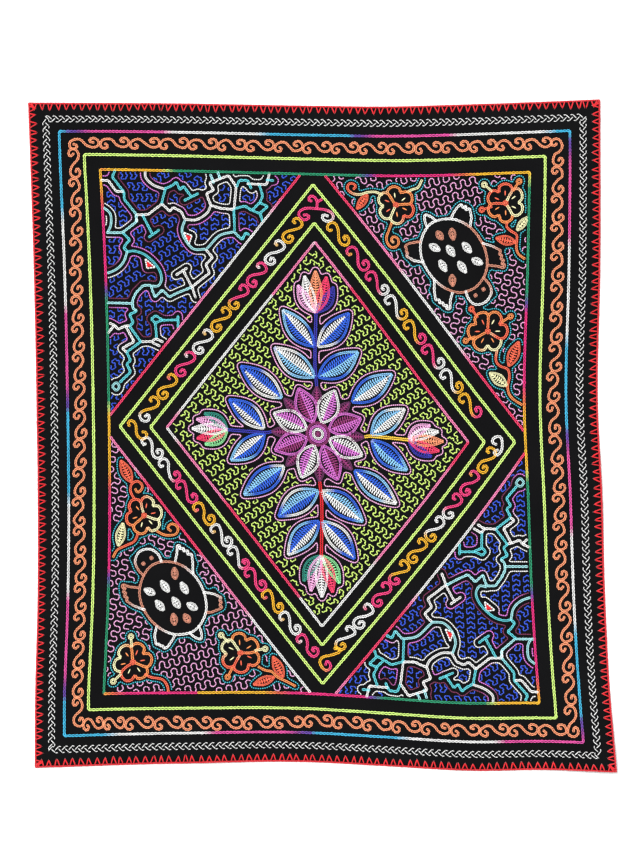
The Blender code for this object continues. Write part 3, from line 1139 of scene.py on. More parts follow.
# The four rows of scrolls in the diamond, each heading downwards. The letters give the colours of
# each scroll's stem and of its last curl.
DiamondRow = namedtuple("DiamondRow", "start end first pitch size colours")
DIAMOND_ROWS = (
    DiamondRow("top", "left", 23.0, 31.4, 1.0, "gg ww pp pg gg ww pp gg gw"),
    DiamondRow("top", "right", 26.0, 32.0, 1.0, "gg pp pw wg gp pw wg gp"),
    DiamondRow("left", "bottom", 14.5, 28.9, 0.95, "ww wp pp gg ww wp pp gg ww pp"),
    DiamondRow("right", "bottom", 10.0, 31.3, 1.0, "gg pp pw wg gg gp pp ww wg"),
)
SCROLL_DYES = {"g": GOLD, "w": WHITE, "p": HOT_PINK}
CornerCurl = namedtuple("CornerCurl", "corner first last points")
CORNER_CURLS = (
    CornerCurl("top", "p", "w", (
        (-11, -13), (-8, -11), (-5, -14.5), (-10, -17.5), (-16, -13), (-14.5, -8), (-7, -5),
        (3, -5), (12, -6), (19, -9), (20, -14.5), (14, -18.5), (8.5, -15), (11, -11), (15, -13))),
    CornerCurl("top", "p", "p", (
        (3, -5), (4, 0), (3, 5), (-1, 8.5), (-5, 6.5), (-4, 2.5), (-1, 3.5))),
    CornerCurl("top", "p", "p", ((4.5, 2.5), (9, 5))),
    CornerCurl("right", "w", "w", (
        (-3, -2.5), (-8, -0.5), (-7, 4), (-2.5, 6), (2, 4.5), (3, -1.5), (2, -7.5), (-1, -12),
        (-5.5, -13.5), (-6, -9.5), (-2, -8.5))),
    CornerCurl("bottom", "g", "p", (
        (12, 17), (16, 19), (19, 15), (10.5, 10.5), (1, 8), (-3, 3), (0, -4), (5, -6.5), (9, -1.5),
        (5, 4), (3, -0.5))),
    CornerCurl("left", "g", "g", (
        (-5.5, 1), (-8, 3), (-5, 6.5), (-1, 4.5), (1, -1), (0.5, -6), (3.5, -11), (8.5, -13),
        (12.5, -9.5), (11, -5), (7, -5.5))),
)


def blended(line, letters):
    """Colours along a line, evenly spread from its start to its end."""
    shades = np.array([SCROLL_DYES[letter] for letter in letters])
    length = np.hypot(*np.diff(line, axis=0).T).sum()
    knots = np.linspace(0, length, len(shades))
    return lambda distance: between_shades(distance, knots, shades)


def diamond_scrolls():
    """The rows of scrolls between the lime diamonds, and the curls at its corners."""
    x, y = SCROLL_DIAMOND
    corners = {"top": (0, y), "right": (x, 0), "bottom": (0, -y), "left": (-x, 0)}
    tables = []
    for row in DIAMOND_ROWS:
        start = np.array(corners[row.start], float)
        heading = math.degrees(math.atan2(*(start - corners[row.end])[::-1])) + 180
        before = row.colours[0]
        for index, (stem, last) in enumerate(row.colours.split()):
            chart = wobbled(DIAMOND_SCROLL, 0.3) * row.size + (row.first + index * row.pitch, 0)
            line = flowing(turned(chart, heading, start))
            colours = blended(line, before + stem * 5 + last * 4)
            tables.append(run(line, CURVE_PITCH, DIAMOND_SCROLL_WIDTH, colours, sharp=False))
            before = last
    for curl in CORNER_CURLS:
        line = flowing(wobbled(curl.points, 0.2) + corners[curl.corner])
        colours = blended(line, curl.first * 4 + curl.last * 2)
        tables.append(run(line, CURVE_PITCH, DIAMOND_SCROLL_WIDTH, colours, sharp=False))
    return tables


# Measuring how far places lie from sewing, and following a line at one distance from it


def nearest(points):
    """A tree that finds the nearest of some points."""
    tree = kdtree.KDTree(len(points))
    for index, (x, y) in enumerate(points):
        tree.insert((x, y, 0.0), index)
    tree.balance()
    return tree


def distances(tree, places):
    """How far each place lies from the nearest point of a tree."""
    return np.array([tree.find((x, y, 0.0))[2] for x, y in places])


def stitch_points(tables):
    """Starts, middles and ends of the stitches of some tables."""
    table = np.vstack(tables)
    return np.vstack((table[:, 0:2], stitch_middles(table), table[:, 2:4]))


Raster = namedtuple("Raster", "x y step values")


def raster_places(x, y):
    """Every place of a raster's columns and rows."""
    return np.column_stack([axis.ravel() for axis in np.meshgrid(x, y, indexing="ij")])


def distance_raster(tree, low, high, step):
    """Distances from a tree's points on a square raster between two corners."""
    x = np.arange(low[0], high[0], step)
    y = np.arange(low[1], high[1], step)
    values = distances(tree, raster_places(x, y)).reshape(len(x), len(y))
    return Raster(x, y, step, values)


def crossings(values, level):
    """Which raster edges a level line crosses, joined in pairs through the raster's squares."""
    above = values > level
    low_low = above[:-1, :-1]
    mixed = (low_low != above[1:, :-1]) | (low_low != above[1:, 1:]) | (low_low != above[:-1, 1:])
    joined = {}
    for i, j in np.argwhere(mixed):
        bottom = ("across", i, j) if above[i, j] != above[i + 1, j] else None
        right = ("up", i + 1, j) if above[i + 1, j] != above[i + 1, j + 1] else None
        top = ("across", i, j + 1) if above[i, j + 1] != above[i + 1, j + 1] else None
        left = ("up", i, j) if above[i, j] != above[i, j + 1] else None
        cut = [edge for edge in (bottom, right, top, left) if edge]
        pairs = [(bottom, right), (top, left)] if len(cut) == 4 else [tuple(cut)]
        for one, other in pairs:
            joined.setdefault(one, []).append(other)
            joined.setdefault(other, []).append(one)
    return joined


def level_lines(raster, level):
    """Lines along which a raster's values cross a level."""
    joined = crossings(raster.values, level)
    unused = dict.fromkeys(joined)
    ends = [edge for edge, others in joined.items() if len(others) == 1]
    lines = []
    for first in ends + list(joined):
        if first not in unused:
            continue
        line = [first]
        del unused[first]
        while True:
            onward = [edge for edge in joined[line[-1]] if edge in unused]
            if not onward:
                break
            line.append(onward[0])
            del unused[onward[0]]
        closed = len(line) > 3 and first in joined[line[-1]]
        lines.append(([edge_place(raster, edge, level) for edge in line], closed))
    return lines


def edge_place(raster, edge, level):
    """Where on a raster edge the level is crossed."""
    kind, i, j = edge
    i_end, j_end = (i + 1, j) if kind == "across" else (i, j + 1)
    start = raster.values[i, j]
    share = (level - start) / (raster.values[i_end, j_end] - start)
    x = raster.x[i] + (i_end - i) * share * raster.step
    y = raster.y[j] + (j_end - j) * share * raster.step
    return (x, y)


def smoothed(line, closed, passes):
    """The line with its small raster steps evened out."""
    points = np.array(line)
    for _ in range(passes):
        if closed:
            points = (np.roll(points, 1, axis=0) + 2 * points + np.roll(points, -1, axis=0)) / 4
        else:
            points[1:-1] = (points[:-2] + 2 * points[1:-1] + points[2:]) / 4
    return points


def level_paths(raster, level, shortest, passes):
    """Smoothed level lines of at least so many points, and whether each is closed."""
    return [(smoothed(line, closed, passes), closed)
            for line, closed in level_lines(raster, level) if len(line) >= shortest]


def cell_labels(open_cells):
    """A number for each connected patch of open raster cells, and 0 where it is closed."""
    labels = np.zeros(open_cells.shape, int)
    count = 0
    for seed in np.argwhere(open_cells):
        seed = tuple(seed)
        if labels[seed]:
            continue
        count += 1
        labels[seed] = count
        waiting = [seed]
        while waiting:
            i, j = waiting.pop()
            for cell in ((i + 1, j), (i - 1, j), (i, j + 1), (i, j - 1)):
                inside = 0 <= cell[0] < labels.shape[0] and 0 <= cell[1] < labels.shape[1]
                if inside and open_cells[cell] and not labels[cell]:
                    labels[cell] = count
                    waiting.append(cell)
    return labels


def label_at(raster, labels, place):
    """The most common patch number among the raster cells round a place."""
    i = int(round((place[0] - raster.x[0]) / raster.step))
    j = int(round((place[1] - raster.y[0]) / raster.step))
    around = labels[max(i - 2, 0):i + 3, max(j - 2, 0):j + 3].ravel()
    around = around[around > 0]
    return int(np.bincount(around).argmax()) if len(around) else 0


# Fills: rows of one wave, cut to the room that is left between the other lines. A wave has its
# length, the distance between rows, the length and width of its stitches, and how it wobbles.

SHORTEST_RUN = 3
Wave = namedtuple("Wave", "period spacing stitch width wobble rounded points")
KINKED_WAVE = Wave(10.2, 11.9, 1.9, THIN_WIDTH, 0.15, False, (
    (0, -3.9), (0, -1.3), (1.6, -1.3), (1.6, 1.3), (0, 1.3), (0, 3.9),
    (5.1, 3.9), (5.1, 1.3), (6.7, 1.3), (6.7, -1.3), (5.1, -1.3), (5.1, -3.9)))
ROUND_WAVE = Wave(10.4, 10.4, 1.9, 1.4, 0.25, True, (
    (-0.3, 2.4), (2.6, 4.2), (5.5, 2.4), (5.2, 0), (4.9, -2.4), (7.8, -4.2), (10.7, -2.4),
    (10.4, 0)))


def rows_of_waves(wave, allowed, low, high, degrees, colour):
    """Rows of a wave at an angle between two corners, as tables of the stitches allowed."""
    middle = (np.array(low) + high) / 2
    reach = math.dist(low, high) / 2 + wave.period
    count = int(2 * reach / wave.period) + 1
    tables = []
    for side in np.arange(-reach, reach, wave.spacing):
        start = chance.normal(0, 0.5) - reach
        row = [np.array(wave.points) + (start + index * wave.period, side)
               for index in range(count)]
        line = turned(wobbled(np.vstack(row), wave.wobble), degrees, middle)
        line = flowing(line, steps=4) if wave.rounded else line
        table = run(line, wave.stitch, wave.width, colour, sharp=not wave.rounded)
        spots = stitch_middles(table)
        good = np.all((spots >= low) & (spots <= high), axis=1)
        if not good.any():
            continue
        good[good] = allowed(spots[good])
        ends = np.flatnonzero(np.diff(np.concatenate(([0], good.astype(int), [0]))))
        for first, last in zip(ends[::2], ends[1::2]):
            if last - first >= SHORTEST_RUN:
                tables.append(table[first:last])
    return tables


def waves_on_both_sides(wave, allowed, side_of, headings, corners, colour):
    """Rows of a wave on both sides of a line, with a heading for each side.

    The function side_of gives more than 0 on one side of the line and less than 0 on the other.
    """
    tables = []
    for hand, degrees in zip((1, -1), headings):
        def here(spots, hand=hand):
            good = side_of(spots) * hand > 0
            good[good] = allowed(spots[good])
            return good
        tables += rows_of_waves(wave, here, *corners, degrees, colour)
    return tables


# The two corner fields of bands and mazes, top left and bottom right. The chart is in squares of
# 4 mm from the field's corner: across along the top, and down.

SQUARE_SIZE = 4.0
OUTLINE_GAP = 5.0
MAZE_GAP = 6.3
# How far each kind of sewing stays inside the lines round its field
CHAIN_MARGIN = 1.6
OUTLINE_MARGIN = 2.6
MAZE_MARGIN = 2.3
PATCH_MARGIN = 3.0
# The step of the raster of distances, and the fewest of its cells that a patch of maze has
RASTER_STEP = 1.6
SMALLEST_PATCH = 20
MAZE_HEADINGS = (33, 0, 33, 90)
BAND_OUTLINE_PITCH = 2.2
BandLine = namedtuple("BandLine", "yarn curved points")
BAND_LINES = (
    BandLine("cyan", False, ((4, 0), (3, 2), (6, 6), (6, 8), (9, 12), (9, 14))),
    BandLine("white", False, ((0, 3), (2, 3), (4, 6), (6, 6))),
    BandLine("aqua", True, ((0, 10), (2, 12), (2, 15), (1, 17))),
    BandLine("aqua", False, ((0, 17), (5, 17), (9, 14))),
    BandLine("white", False, ((9, 14), (9, 12), (12, 12), (16, 9))),
    BandLine("cyan", False, ((16, 9), (17, 5))),
    BandLine("white", True, ((17, 5), (14, 4), (12, 2), (12, 0))),
    BandLine("cyan", False, ((17, 5), (19, 4), (20, 3), (21, 5), (22, 4), (24, 7))),
    BandLine("cyan", False, ((22, 8), (26, 6))),
    BandLine("white", False, ((16, 9), (18, 11), (19, 10), (21, 11), (22, 13))),
    BandLine("white", True, ((22, 13), (25, 13), (28, 11), (29, 9))),
    BandLine("white", False, ((29, 9), (28, 6), (30, 5), (29, 3), (34, 1), (36, 4))),
    BandLine("white", False, ((36, 4), (35, 10))),
    BandLine("white", False, ((29, 9), (32, 10), (35, 10))),
    BandLine("aqua", False, ((29, 0), (30, 3))),
    BandLine("aqua", False, ((31, 0), (32, 2))),
    BandLine("cyan", False, ((36, 4), (37, 2), (39, 2), (40, 4))),
    BandLine("white", False, ((39, 3), (44, 3), (45, 0))),
    BandLine("cyan", False, ((44, 2), (46, 2))),
    BandLine("cyan", False, ((42, 3), (43, 6), (42, 8))),
    BandLine("cyan", False, ((42, 8), (44, 9), (42, 11), (40, 10), (42, 8))),
    BandLine("cyan", False, ((35, 10), (38, 9), (40, 10))),
    BandLine("cyan", False, ((42, 11), (43, 14), (40, 17), (38, 16), (37, 18), (35, 16))),
    BandLine("cyan", False, ((35, 10), (35, 16))),
    BandLine("aqua", True, ((35, 16), (31, 17), (28, 20), (27, 21))),
    BandLine("aqua", True, ((27, 21), (24, 21), (22, 19), (21, 16), (22, 13))),
    BandLine("white", False, ((27, 21), (28, 22), (29, 23), (27, 25), (28, 27), (23, 31))),
    BandLine("white", False, ((23, 31), (21, 27))),
    BandLine("white", False, ((19, 28), (22, 26))),
    BandLine("aqua", False, ((23, 31), (19, 33), (17, 34), (15, 32), (13, 34), (12, 31))),
    BandLine("cyan", True, ((6, 22), (8, 22), (11, 23), (14, 26), (15, 29), (14, 31), (12, 31))),
    BandLine("cyan", False, ((5, 17), (7, 19), (6, 20), (5, 21), (6, 22))),
    BandLine("aqua", True, ((6, 22), (5, 25), (3, 27), (0, 28))),
    BandLine("cyan", False, ((10.5, 12), (13, 17))),
    BandLine("cyan", False, ((12, 18), (15, 16))),
    BandLine("aqua", False, ((12, 31), (10, 31), (8, 33), (7, 35), (7, 37), (8, 38))),
    BandLine("aqua", False, ((0, 36), (7, 36))),
    BandLine("cyan", False, ((8, 38), (6, 39), (7, 41), (6, 42))),
    BandLine("cyan", False, ((6, 42), (9, 46))),
    BandLine("white", False, ((6, 42), (5, 42), (3, 43), (2, 42), (0, 41))),
    BandLine("white", False, ((2, 42), (0, 44))),
    BandLine("white", False, ((5, 42), (7, 46), (4, 48), (5, 49))),
    BandLine("cyan", False, ((9, 46), (5, 49))),
    BandLine("cyan", False, ((5, 49), (6, 51), (5, 52), (6, 54), (3, 57))),
    BandLine("aqua", True, ((1, 58), (2, 57), (3, 58), (2, 59), (1, 58))),
    BandLine("white", False, ((9, 46), (12, 46), (13, 45))),
    BandLine("white", False, ((12, 46), (14, 47))),
    BandLine("white", False, ((13, 45), (15, 46))),
    BandLine("cyan", False, ((13, 45), (13, 41))),
    BandLine("cyan", False, ((13, 41), (12, 40), (13, 39), (15, 40), (13, 41))),
    BandLine("cyan", False, ((15, 40), (19, 40))),
    BandLine("cyan", False, ((19, 39), (19, 42))),
    BandLine("white", False, ((23, 31), (24, 34))),
)
RED_EYES = ((22.55, 17.95, 111), (11.8, 25.4, -40))


def red_eye(place, degrees):
    """A small red triangle in close straight stitches, edged in white."""
    rows = []
    for across, half in ((0.5, 4.4), (-0.9, 3.0), (-2.3, 1.6)):
        rows.append(single((-half, across), (half, across), 2.1, RED))
    edge = run([(-6.8, 2.0), (6.8, 2.0), (0.8, -4.8)], 2.6, 1.9, WHITE, closed=True)
    return moved(np.vstack(rows + [edge]), degrees, place)


def from_squares(squares, hand):
    """Places of the chart of bands, in millimetres from the middle of the cloth."""
    return (np.asarray(squares) * (1, -1) * SQUARE_SIZE + (-SQUARE[0], SQUARE[1])) * hand


def in_patch(patch, labels, raster, tree):
    """A test for places in one patch between the bands, clear of their outlines."""
    def allowed(spots):
        good = in_corner_field(MAZE_MARGIN)(spots)
        for index in np.flatnonzero(good):
            near = tree.find((*spots[index], 0.0))[2]
            good[index] = near > MAZE_GAP and label_at(raster, labels, spots[index]) == patch
        return good
    return allowed


def band_mazes(raster, tree):
    """Rows of the kinked wave in each patch between the bands."""
    in_field = in_corner_field(PATCH_MARGIN)(raster_places(raster.x, raster.y))
    is_open = (raster.values > OUTLINE_GAP) & in_field.reshape(raster.values.shape)
    labels = cell_labels(is_open)
    mazes = []
    for patch in range(1, labels.max() + 1):
        cells = np.argwhere(labels == patch)
        if len(cells) < SMALLEST_PATCH:
            continue
        corners = np.column_stack((raster.x[cells[:, 0]], raster.y[cells[:, 1]]))
        mazes += rows_of_waves(
            KINKED_WAVE, in_patch(patch, labels, raster, tree), corners.min(axis=0) - 3,
            corners.max(axis=0) + 3, MAZE_HEADINGS[patch % len(MAZE_HEADINGS)], BLUE)
    return mazes


def band_field(hand):
    """One field of bands: chain lines, their outlines, the mazes between them and red eyes."""
    yarns = {"white": WHITE, "aqua": AQUA, "cyan": variegated(AQUA_YARN, 10.0)}
    chains = []
    for line in BAND_LINES:
        places = from_squares(wobbled(line.points, 0.08), hand)
        path = flowing(places) if line.curved else places
        chains.append(run(path, CHAIN_PITCH, CHAIN_WIDTH, yarns[line.yarn]))
    chains = kept(chains, in_corner_field(CHAIN_MARGIN))
    eyes = [red_eye(from_squares((x, y), hand), degrees) for x, y, degrees in RED_EYES]
    tree = nearest(stitch_points(chains + eyes))
    raster = distance_raster(tree, *field_corners(hand, (-1, 1)), RASTER_STEP)
    outlines = []
    for index, (path, closed) in enumerate(level_paths(raster, OUTLINE_GAP, 0, 1)):
        colours = variegated(OUTLINE_YARN, 70 * index)
        outlines.append(run(path, BAND_OUTLINE_PITCH, THIN_WIDTH, colours, closed, sharp=False))
    outlines = kept(outlines, in_corner_field(OUTLINE_MARGIN))
    return chains, outlines, band_mazes(raster, tree), eyes


def field_corners(hand, quarter):
    """Lowest and highest corner of the box round a corner field."""
    near = np.array((8.0 * quarter[0], 8.0 * quarter[1])) * hand
    far = np.array((SQUARE[0] * quarter[0], SQUARE[1] * quarter[1])) * hand
    return np.minimum(near, far), np.maximum(near, far)


# Leaves, petals and buds: an outline in chain stitch, filled with rows of short rungs

RUNG_ROW_WIDTH = 4.8
RUNG_PITCH = 2.7
RUNG_WIDTH = 1.7
RUNG_LINE_PITCH = 2.4
# The share of a leaf's half width that its rows of rungs take up
RUNG_SHARE = 0.82


def almond(length, width, count=15):
    """One side of a pointed leaf, from its base to its tip."""
    share = np.linspace(0, 1, count)
    side = np.sin(math.pi * share ** 0.92) ** 0.95
    return np.column_stack((share * length, side * width / 2))


def leaf(base, degrees, length, width, edge, fills, chain=3.0, bend=0.0):
    """A leaf: chains round it, and rungs in rows on both sides of its middle."""
    side = almond(length, width)
    rows = max(1, round(width * 0.42 / RUNG_ROW_WIDTH))
    chains = []
    rungs = []
    for hand, colour in zip((1, -1), fills):
        outline = bent(side * (1, hand), bend, length)
        chains.append(run(outline, TIGHT_PITCH, chain, edge, sharp=False))
        for row in range(rows):
            low = row / rows * RUNG_SHARE
            high = (row + 1) / rows * RUNG_SHARE
            marks = np.arange(2.4, length - 2.5, RUNG_PITCH)
            reach = np.interp(marks, side[:, 0], side[:, 1])
            for along, wide in zip(marks, reach):
                room = wide - chain * 0.45
                if room * (high - low) < 1.0:
                    continue
                start = (along, hand * (low * room + 0.2))
                end = (min(along + 1.1, length), hand * high * room / RUNG_SHARE * 0.86)
                rungs.append(single(*bent((start, end), bend, length), RUNG_WIDTH, colour))
            if row:
                line = np.column_stack((marks, hand * np.maximum(reach - 1.4, 0) * low))
                line = bent(line[reach > 4.0], bend, length)
                if len(line) > 2:
                    rungs.append(run(line, RUNG_LINE_PITCH, 1.2, colour, sharp=False))
    spine = bent([(1.0, 0.0), (length * 0.5, 0.0), (length - 1.5, 0.0)], bend, length)
    rungs.append(run(flowing(spine), RUNG_LINE_PITCH, RUNG_WIDTH, fills[1], sharp=False))
    chains = [moved(table, degrees, base) for table in chains]
    rungs = [moved(table, degrees, base) for table in rungs]
    return chains, rungs


def small_leaf(base, degrees, length, width, colour):
    """A small leaf in one colour."""
    return leaf(base, degrees, length, width, colour, (colour, colour), SMALL_CHAIN_WIDTH)


def bent(points, bend, length):
    """The points of a leaf with its middle bowed to one side."""
    chart = np.array(points, float)
    chart[:, 1] += bend * np.sin(math.pi * np.clip(chart[:, 0] / length, 0, 1))
    return chart


# The two corner fields of flowers, top right and bottom left. Offsets are from the field's
# corner of the square. A petal is charted as degrees and shares of the flower's radius.

FLOWER_OUTLINE_GAP = 3.7
FLOWER_WAVE_GAP = 4.9
FLOWER_WAVE_MARGIN = 1.9
FLOWER_WAVE_HEADINGS = (75, 15)
FLOWER_RASTER_STEP = 1.5
SHORTEST_DOTTED_LINE = 14
DOT_PITCH = 2.35
DOT_WIDTH = 1.5
DOT_SHARE = 0.72
PETAL = (
    (0, 0.14), (0, 0.42), (0, 0.80), (14, 0.98), (32, 1.03), (50, 0.93), (60, 0.70),
    (70, 0.93), (88, 1.03), (106, 0.98), (120, 0.80),
)
Flower = namedtuple("Flower", "x y radius degrees on_yarn")
Bobble = namedtuple("Bobble", "flower degrees reach colour")
SmallLeaf = namedtuple("SmallLeaf", "x y degrees length width colour")
Twig = namedtuple("Twig", "on_yarn points")
Turtle = namedtuple("Turtle", "x y degrees size")
FlowerField = namedtuple("FlowerField", "hand turtle flowers bobbles leaves twigs")
TOP_RIGHT = FlowerField(
    1, Turtle(-78, -82, -54, 0.94),
    (Flower(-138.5, -30, 18.8, 66, 0), Flower(-24.5, -30, 18.8, 2, 60),
     Flower(-40.5, -160, 20.5, 30, 110)),
    (Bobble(1, 57, 26, "apricot"), Bobble(1, 139, 30, "cream"), Bobble(1, 194, 26, "coral"),
     Bobble(2, 128, 30, "coral"), Bobble(2, 32, 29, "apricot"), Bobble(2, 202, 26, "apricot")),
    (SmallLeaf(-168, -20, 233, 19, 7, "coral"), SmallLeaf(-12, -58, 51, 17, 6.5, "cream"),
     SmallLeaf(-13.5, -70, 167, 21, 8.5, "coral"), SmallLeaf(-17, -196, 68, 27, 11, "coral"),
     SmallLeaf(-19, -216, 144, 23, 10, "cream")),
    (Twig(75, ((-127, -17), (-121, -14), (-115, -12), (-111, -4))),
     Twig(80, ((-152, -20), (-160, -17), (-168, -17.5), (-176, -20), (-184, -19), (-189, -14),
               (-187, -9), (-182, -9), (-180, -12.5), (-183, -14.5))),
     Twig(0, ((-143, -48), (-146, -56), (-149, -64), (-147.5, -71), (-142, -74.5),
              (-136.5, -71), (-137, -65), (-142, -63), (-144, -67.5), (-141, -69))),
     Twig(125, ((-22, -49), (-23, -54), (-17.5, -59), (-12, -63), (-12.5, -74), (-10, -82),
                (-3, -87))),
     Twig(110, ((-30, -179), (-31, -190), (-26, -196), (-18, -199), (-16, -207), (-18, -218),
                (-14, -228), (-2, -236)))),
)
BOTTOM_LEFT = FlowerField(
    -1, Turtle(-68, -97, -54, 0.94),
    (Flower(-36.5, -182, 19, 105, 20), Flower(-28.5, -31.5, 19, 100, 120),
     Flower(-139.5, -41, 20, 5, 70)),
    (Bobble(1, 277, 27, "cream"), Bobble(1, 45, 28, "cream"), Bobble(2, 318, 28, "cream"),
     Bobble(2, 190, 27, "cream"), Bobble(2, 63, 29, "apricot")),
    (SmallLeaf(-23, -216, 296, 25, 10, "coral"), SmallLeaf(-9.5, -150, 259, 24, 9, "cream"),
     SmallLeaf(-184, -16, 296, 24, 9.5, "coral"), SmallLeaf(-175, -16, 20, 23, 8, "coral")),
    (Twig(125, ((-26, -199), (-22, -207), (-24, -215), (-31, -217), (-35, -211), (-30, -205.5),
                (-27, -209.5))),
     Twig(0, ((-50, -166), (-59, -162), (-70, -163), (-72.5, -170), (-66, -174), (-61.5, -169.5),
              (-65.5, -166))),
     Twig(130, ((-30, -163), (-26.5, -155), (-17.5, -150.5), (-8.5, -146), (-4, -138))),
     Twig(120, ((-41, -19.5), (-48, -16), (-59, -14), (-64.5, -8), (-66, -1))),
     Twig(5, ((-158, -27), (-166, -23), (-172, -22), (-178.5, -16), (-187.5, -12), (-197, -7)))),
)
SHELL = ((43, 0), (37, 17), (23, 29), (3, 34), (-18, 31), (-35, 20), (-43, 0), (-35, -20),
         (-18, -31), (3, -34), (23, -29), (37, -17))
HEAD = ((39, 12), (48, 14), (58, 11), (63, 0), (58, -11), (48, -14), (39, -12))
FORE_LEG = ((31, 24), (38, 32), (45, 37), (42, 40), (40, 37), (38, 42), (35, 39), (33, 44),
            (30, 41), (28, 45), (18, 40), (8, 33))
HIND_LEG = ((-14, 32), (-22, 40), (-31, 44), (-32, 40), (-35, 42), (-36, 38), (-40, 39),
            (-40, 34), (-37, 26), (-34, 21))
TAIL = ((-41, 6), (-48, 5), (-55, 0), (-48, -5), (-41, -6))
TurtlePart = namedtuple("TurtlePart", "points closed sharp on_yarn")
Spot = namedtuple("Spot", "along side degrees length colour")
SHELL_SPOTS = (
    Spot(16, 0, 0, 15, "white"), Spot(-6, 0, 0, 14, "white"), Spot(-27, 0, 0, 11, "copper"),
    Spot(22, 14, 30, 13, "white"), Spot(2, 16, 5, 14, "white"), Spot(-19, 15, -25, 13, "copper"),
    Spot(22, -14, -30, 13, "copper"), Spot(2, -16, -5, 14, "white"),
    Spot(-19, -15, 25, 13, "white"),
)


def flower(row):
    """Three petals with two lobes each in banded yarn, a coral dot and stitches in each petal."""
    chains = []
    stitches = []
    centre = (row.x, row.y)
    petal = [(reach * math.cos(math.radians(degrees)), reach * math.sin(math.radians(degrees)))
             for degrees, reach in PETAL]
    for index in range(3):
        degrees = row.degrees - 60 + 120 * index
        line = flowing(turned(wobbled(petal, 0.012), degrees, centre, row.radius))
        colours = variegated(APRICOT_YARN, row.on_yarn + 42 * index)
        chains.append(run(line, 2.6, 3.1, colours, sharp=False))
        for turn in (30, 90):
            start, end = turned([(0.38, 0), (0.68, 0)], degrees + turn, centre, row.radius)
            stitches.append(single(start, end, 1.5, (CREAM, CORAL, APRICOT)[index]))
    dot = flowing(turned([(2.2, 0), (0, 2.2), (-2.2, 0), (0, -2.2)], 0, centre), closed=True)
    chains.append(run(dot, 2.2, 2.8, CORAL, closed=True, sharp=False))
    return chains, stitches


def bobble(row, flowers, dyes):
    """A small ring on a stalk, between two petals of a flower."""
    centre = (flowers[row.flower].x, flowers[row.flower].y)
    stalk = turned([(row.reach - 12, 0), (row.reach - 3.5, 0)], row.degrees, centre)
    ring = turned([(row.reach + 1.8, 0), (row.reach - 0.8, 2.5), (row.reach - 3.4, 0),
                   (row.reach - 0.8, -2.5)], row.degrees, centre)
    colour = dyes[row.colour]
    return [run(stalk, TIGHT_PITCH, CHAIN_WIDTH, colour),
            run(flowing(ring, closed=True), 2.2, 2.6, colour, closed=True, sharp=False)]


def placing_of(place):
    """How the turtle's charts are turned, moved and scaled."""
    return place.degrees, (place.x, place.y), place.size


def turtle(place, dyes):
    """A turtle: its outline in copper and white chain, and filled spots on its back."""
    placing = placing_of(place)
    parts = [TurtlePart(SHELL, True, False, 0), TurtlePart(HEAD, False, False, 60),
             TurtlePart(TAIL, False, False, 120)]
    for leg, on_yarn in ((FORE_LEG, 20), (HIND_LEG, 100)):
        parts.append(TurtlePart(leg, False, True, on_yarn))
        parts.append(TurtlePart([(x, -y) for x, y in leg], False, True, on_yarn + 70))
    chains = []
    for part in parts:
        points = turned(wobbled(part.points, 0.3), *placing)
        line = points if part.sharp else flowing(points, part.closed)
        colours = variegated(COPPER_YARN, part.on_yarn)
        chains.append(run(line, CHAIN_PITCH, CHAIN_WIDTH, colours, part.closed, part.sharp))
    stitches = []
    for spot in SHELL_SPOTS:
        base = turned([(spot.along - spot.length / 2, spot.side)], *placing)[0]
        outline, rungs = small_leaf(base, place.degrees + spot.degrees,
                                    spot.length * place.size, 6.2, dyes[spot.colour])
        chains += outline
        stitches += rungs
    for side in (5.5, -5.5):
        eye = turned([(51.6, side), (50, side + 1.6), (48.4, side), (50, side - 1.6)], *placing)
        chains.append(run(flowing(eye, closed=True), 2.0, 2.4, COPPER, closed=True, sharp=False))
    return chains, stitches


def inside_turtle(place):
    """Places spread over the turtle's back, head and legs."""
    along, side = np.meshgrid(np.arange(-42, 64, 4.5), np.arange(-42, 43, 4.5))
    in_shell = (along / 42) ** 2 + (side / 34) ** 2 < 1
    in_head = (along > 38) & (np.abs(side) < 14)
    beside_leg = ((along > 14) & (along < 40)) | ((along < -18) & (along > -38))
    in_legs = (np.abs(side) > 26) & beside_leg
    spots = np.column_stack((along.ravel(), side.ravel()))
    return turned(spots[(in_shell | in_head | in_legs).ravel()], *placing_of(place))


